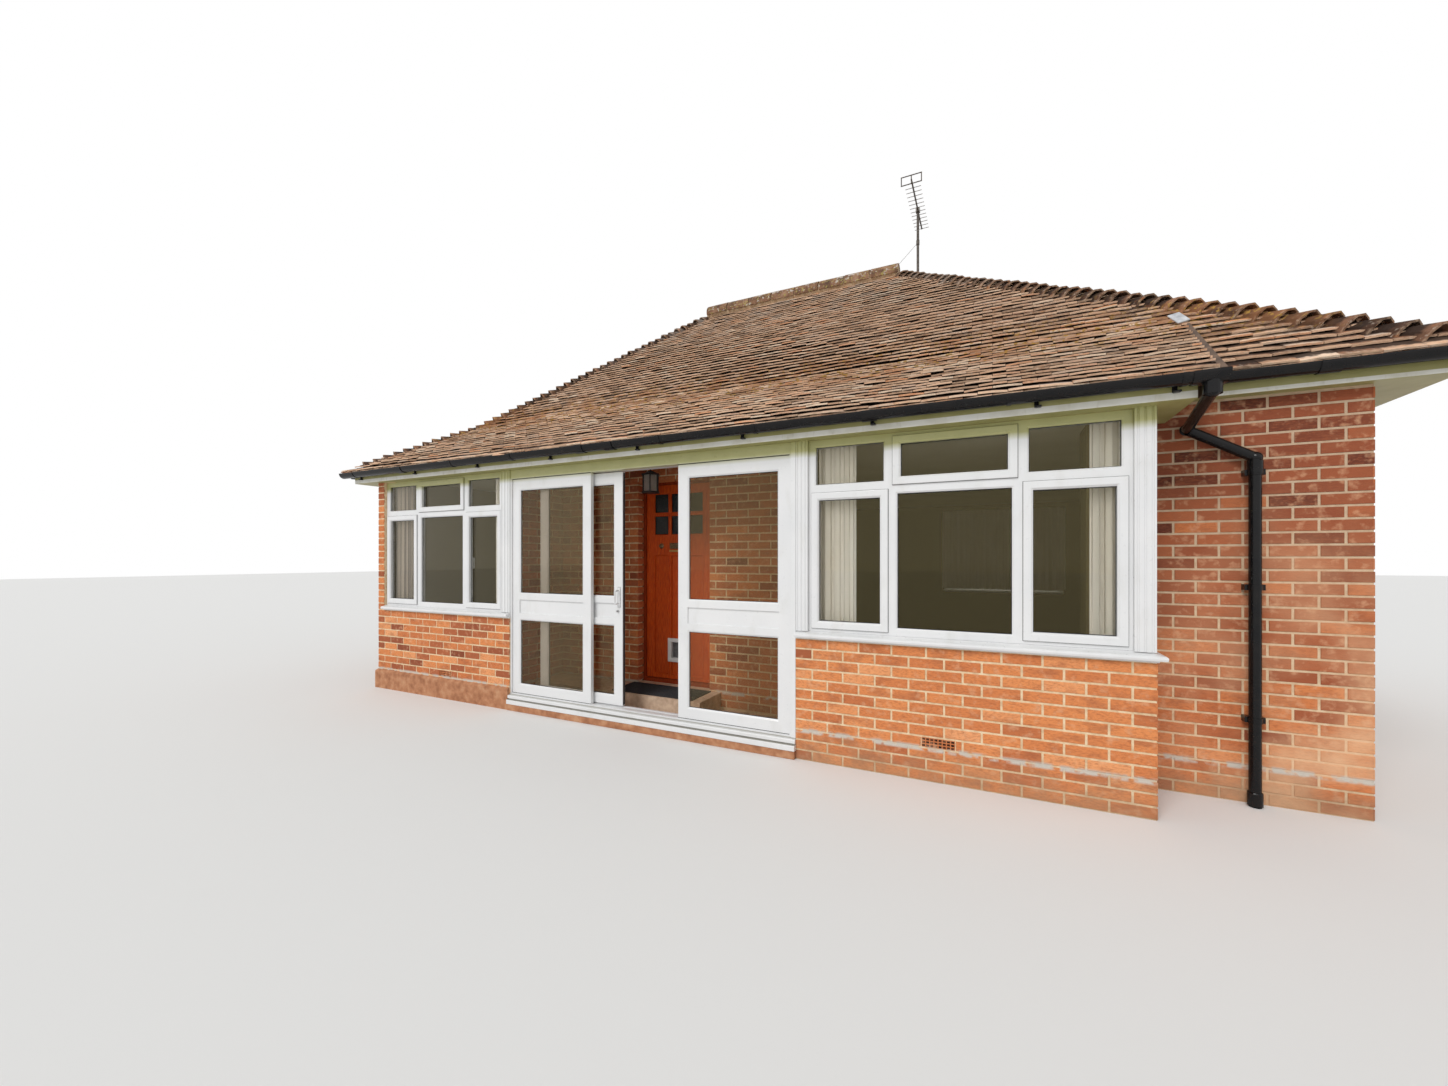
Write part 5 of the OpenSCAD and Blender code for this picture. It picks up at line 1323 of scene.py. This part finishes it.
# A round lock and a letter plate of darkened bronze are screwed to the front door. A pull of
# cast brass hangs below the plate.
bronze = plain_finish("tarnished_bronze", 0.38, (60, 4),
                      [(0.3, (0.10, 0.07, 0.045)), (0.7, (0.24, 0.17, 0.1))], also={"Metallic": 1.0})
brass = plain_finish("worn_brass", 0.3, (40, 4), [(0.3, (0.45, 0.27, 0.10)), (0.7, (0.68, 0.46, 0.2))],
                     also={"Metallic": 1.0})
plate_x = leaf_left + leaf_wide / 2
furniture = bmesh.new()
turned(furniture,
       [(0.0, 0.030), (0.012, 0.030), (0.017, 0.026), (0.018, 0.018), (0.013, 0.012), (0.026, 0.006),
        (0.028, 0.0)],
       Matrix.Translation((leaf_left + 0.179, leaf_face, 1.620)) @ lengthways)
ring(furniture, None, plate_x - 0.100, plate_x + 0.100, 1.590, 1.650, 0.012, leaf_face - 0.008, leaf_face,
     bead=0.003, fall=0.003, soft=0.002)
bar(furniture, (plate_x - 0.087, leaf_face - 0.006, 1.603), (plate_x + 0.087, leaf_face, 1.637), 0.002)
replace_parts(piece("lock_and_letter_plate", furniture, bronze, "entrance_door"),
            "door_furniture")
pull = bmesh.new()
bar(pull, (plate_x - 0.100, leaf_face - 0.014, 1.558), (plate_x + 0.100, leaf_face, 1.578), 0.004, 3)
piece("letter_pull", pull, brass, "entrance_door")

# The cat flap is moulded from smoked plastic, scratched by use. It hangs on two pins in a
# white frame that is screwed through the door.
repaint("cat_flap_frame", white)
smoked = plain_finish("smoked_plastic", 0.3, (30, 4), [(0.3, (0.08, 0.08, 0.085)), (0.7, (0.16, 0.16, 0.17))])
repaint("cat_flap", smoked)

# The porch's step is cast concrete, worn and dirty where people tread. A ribbed mat of dark
# pile lies on it.
stone, tree, shader = finish("worn_step", 0.85)
worn = shades(tree, mottle(tree, 18, 6), [(0.3, (0.50, 0.34, 0.235)), (0.7, (0.73, 0.56, 0.41))])
tree.links.new(layer(tree, window_of(tree, mottle(tree, 5, 6), 0.5, 0.75, 0.0, 0.5), worn, (0.25, 0.2, 0.15)),
               shader.inputs["Base Color"])
relief(tree, shader, mottle(tree, 120, 5), 0.002, 0.6)
repaint("porch_step", stone)
pile = plain_finish("ribbed_pile", 0.98, (300, 3), [(0.3, (0.012, 0.012, 0.014)), (0.7, (0.05, 0.05, 0.055))],
                    ((700, 2), 0.004, 1.0))
repaint("door_mat", pile)
mat_low, mat_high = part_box("door_mat")
ribs = bmesh.new()
rib_step = 0.014
for n in range(int((mat_high.y - mat_low.y - 0.04) / rib_step)):
    y = mat_low.y + 0.024 + n * rib_step
    bar(ribs, (mat_low.x + 0.02, y, mat_high.z - 0.001), (mat_high.x - 0.02, y + 0.008, mat_high.z + 0.004),
        0.002, 1)
piece("mat_ribs", ribs, pile)

# A six-sided lantern of black iron hangs from the porch's ceiling. Sheets of obscured glass
# are held in its sides.
iron = plain_finish("black_iron", 0.5, (50, 4), [(0.3, (0.012, 0.012, 0.012)), (0.7, (0.03, 0.03, 0.03))])
repaint("porch_lantern", iron)
lantern_low, lantern_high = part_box("porch_lantern")
lantern_at = ((lantern_low.x + lantern_high.x) / 2, (lantern_low.y + lantern_high.y) / 2)
frosted = plain_finish("frosted_glass", 0.35, (30, 3), [(0.3, (0.60, 0.58, 0.5)), (0.7, (0.75, 0.73, 0.66))],
                       also={"Transmission Weight": 0.7})
panes = bmesh.new()
bmesh.ops.create_cone(panes, cap_ends=False, segments=6, radius1=0.074, radius2=0.074, depth=0.158,
                      matrix=Matrix.Translation((*lantern_at,
                                                 lantern_low.z + 0.090)) @ Matrix.Rotation(math.radians(30),
                                                                                           4, "Z"))
piece("lantern_panes", panes, frosted)

# A mast clamped behind the ridge carries a dark weathered boom with short cross rods and a
# barred reflector, and a stay wire holds the mast.
shade_and_weathering, tree, shader = finish("weathered_mast", 0.55, {"Metallic": 0.6})
tree.links.new(shades(tree, mottle(tree, 50, 4), [(0.3, (0.05, 0.042, 0.036)), (0.7, (0.14, 0.12, 0.10))]),
               shader.inputs["Base Color"])
spot = axes(tree)
off_mast = combine(tree, combine(tree, spot["X"], 1.365, "SUBTRACT"), 0.0, "ADD")
off_mast = window_of(tree, combine(tree, off_mast, 0.0, "ABSOLUTE"), 0.017, 0.018)
rods = combine(tree, off_mast, window_of(tree, spot["Y"], -0.355, -0.35))
dark_metal = tree.nodes["Principled BSDF"].inputs["Base Color"].links[0].from_socket
tree.links.new(layer(tree, rods, dark_metal, (0.30, 0.29, 0.28)), shader.inputs["Base Color"])
repaint("aerial", shade_and_weathering)
mast_x, mast_y, boom_z = ridge_right + 0.240, ridge_back, 6.010
trims = bmesh.new()
turned(trims, [(0.016, 0.0), (0.021, 0.0), (0.021, 0.060), (0.016, 0.060), (0.016, 0.0)],
       Matrix.Translation((mast_x, mast_y, 5.560)), 12)
bar(trims, (mast_x - 0.026, mast_y - 0.026, boom_z - 0.030), (mast_x + 0.026, mast_y + 0.026, boom_z + 0.022),
    0.004)
foot = Vector((ridge_right - 0.020, ridge_back, ridge_top + 0.095))
top = Vector((mast_x, mast_y, 5.590))
stay = top - foot
turned(trims, [(0.0, 0.0), (0.0025, 0.0), (0.0025, stay.length), (0.0, stay.length)],
       Matrix.Translation(foot) @ stay.to_track_quat("Z", "Y").to_matrix().to_4x4(), 8)
piece("mast_trims", trims, shade_and_weathering)

# The security light is a moulded head of white plastic on an arm, screwed to the wall of the
# left side.
repaint("security_light", white)

# Curtains of plain woven cloth hang in deep folds inside the windows: drawn back at the
# front, and closed at the rear.
cloth, tree, shader = finish("curtain_cloth", 0.95, {"Sheen Weight": 0.2})
thread = mottle(tree, 900, 2)
dyed = shades(tree, mottle(tree, 5, 5, (1, 1, 0.3)), [(0.3, (0.95, 0.90, 0.82)), (0.7, (0.98, 0.96, 0.92))])
tree.links.new(layer(tree, window_of(tree, thread, 0.4, 0.7, 0.0, 0.2), dyed, (0.74, 0.64, 0.50)),
               shader.inputs["Base Color"])
relief(tree, shader, thread, 0.0008, 0.6)
striped, tree, shader = finish("striped_curtain", 0.95)
wave = combine(tree, combine(tree, own_value(tree, "across"), 58.0), 0.0, "SINE")
stripe = window_of(tree, wave, 0.1, 0.5)
tree.links.new(layer(tree, stripe, (0.60, 0.52, 0.46), (0.34, 0.29, 0.28)), shader.inputs["Base Color"])
relief(tree, shader, mottle(tree, 900, 2), 0.0008, 0.6)


def curtain(name, x0, x1, y, z0, z1, folds, deep, material, seed):
    """A gathered sheet that hangs from z1 to z0 in folds this deep."""
    chance = random.Random(seed)
    swell = [chance.uniform(0.6, 1.0) for _ in range(folds + 1)]
    lean = [chance.uniform(-0.25, 0.25) for _ in range(folds + 1)]
    across_n, down_n = folds * 10, 14
    one = bmesh.new()
    across = one.verts.layers.float.new("across")
    line = []
    for v in bmesh.ops.create_grid(one, x_segments=across_n, y_segments=down_n, size=0.5)["verts"]:
        u, w = v.co.x + 0.5, v.co.y + 0.5
        at = u * folds
        k = min(int(at), folds - 1)
        size = swell[k] + (swell[k + 1] - swell[k]) * (at - k)
        drift = lean[k] + (lean[k + 1] - lean[k]) * (at - k)
        wave_y = math.sin(math.tau * at + drift * (1 - w)) * deep * size * (0.75 + 0.25 * (1 - w))
        wave_x = math.sin(2 * math.tau * at) * (x1 - x0) / folds * 0.10
        v[across] = u
        v.co = (x0 + (x1 - x0) * u + wave_x, y + wave_y, z0 + (z1 - z0) * w)
        if w < 0.001:
            line.append((u, v.co.copy()))
    line.sort(key=lambda p: p[0])
    made = piece(name, one, material)
    for polygon in made.data.polygons:
        polygon.use_smooth = True
    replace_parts(made, "curtains")


curtain_y, curtain_foot, curtain_head = -3.140, 0.975, 2.360
curtain("left_bay_curtain_outer", -4.050, -3.710, curtain_y, curtain_foot, curtain_head, 5, 0.030, striped,
        81)
curtain("left_bay_curtain_inner", -2.395, -2.185, curtain_y, curtain_foot, curtain_head, 3, 0.030, cloth, 82)
curtain("right_bay_curtain_inner", 1.053, 1.333, curtain_y, curtain_foot, curtain_head, 4, 0.030, cloth, 83)
curtain("right_bay_curtain_outer", 2.762, 2.957, curtain_y, curtain_foot, curtain_head, 3, 0.030, cloth, 84)
for n, at in enumerate(rear_window_at):
    curtain("rear_curtain_" + str(n + 1), at - 0.008, at + rear_window_wide + 0.008, rear - 0.300,
            curtain_foot, 2.308, 18, 0.022, cloth, 85 + n)
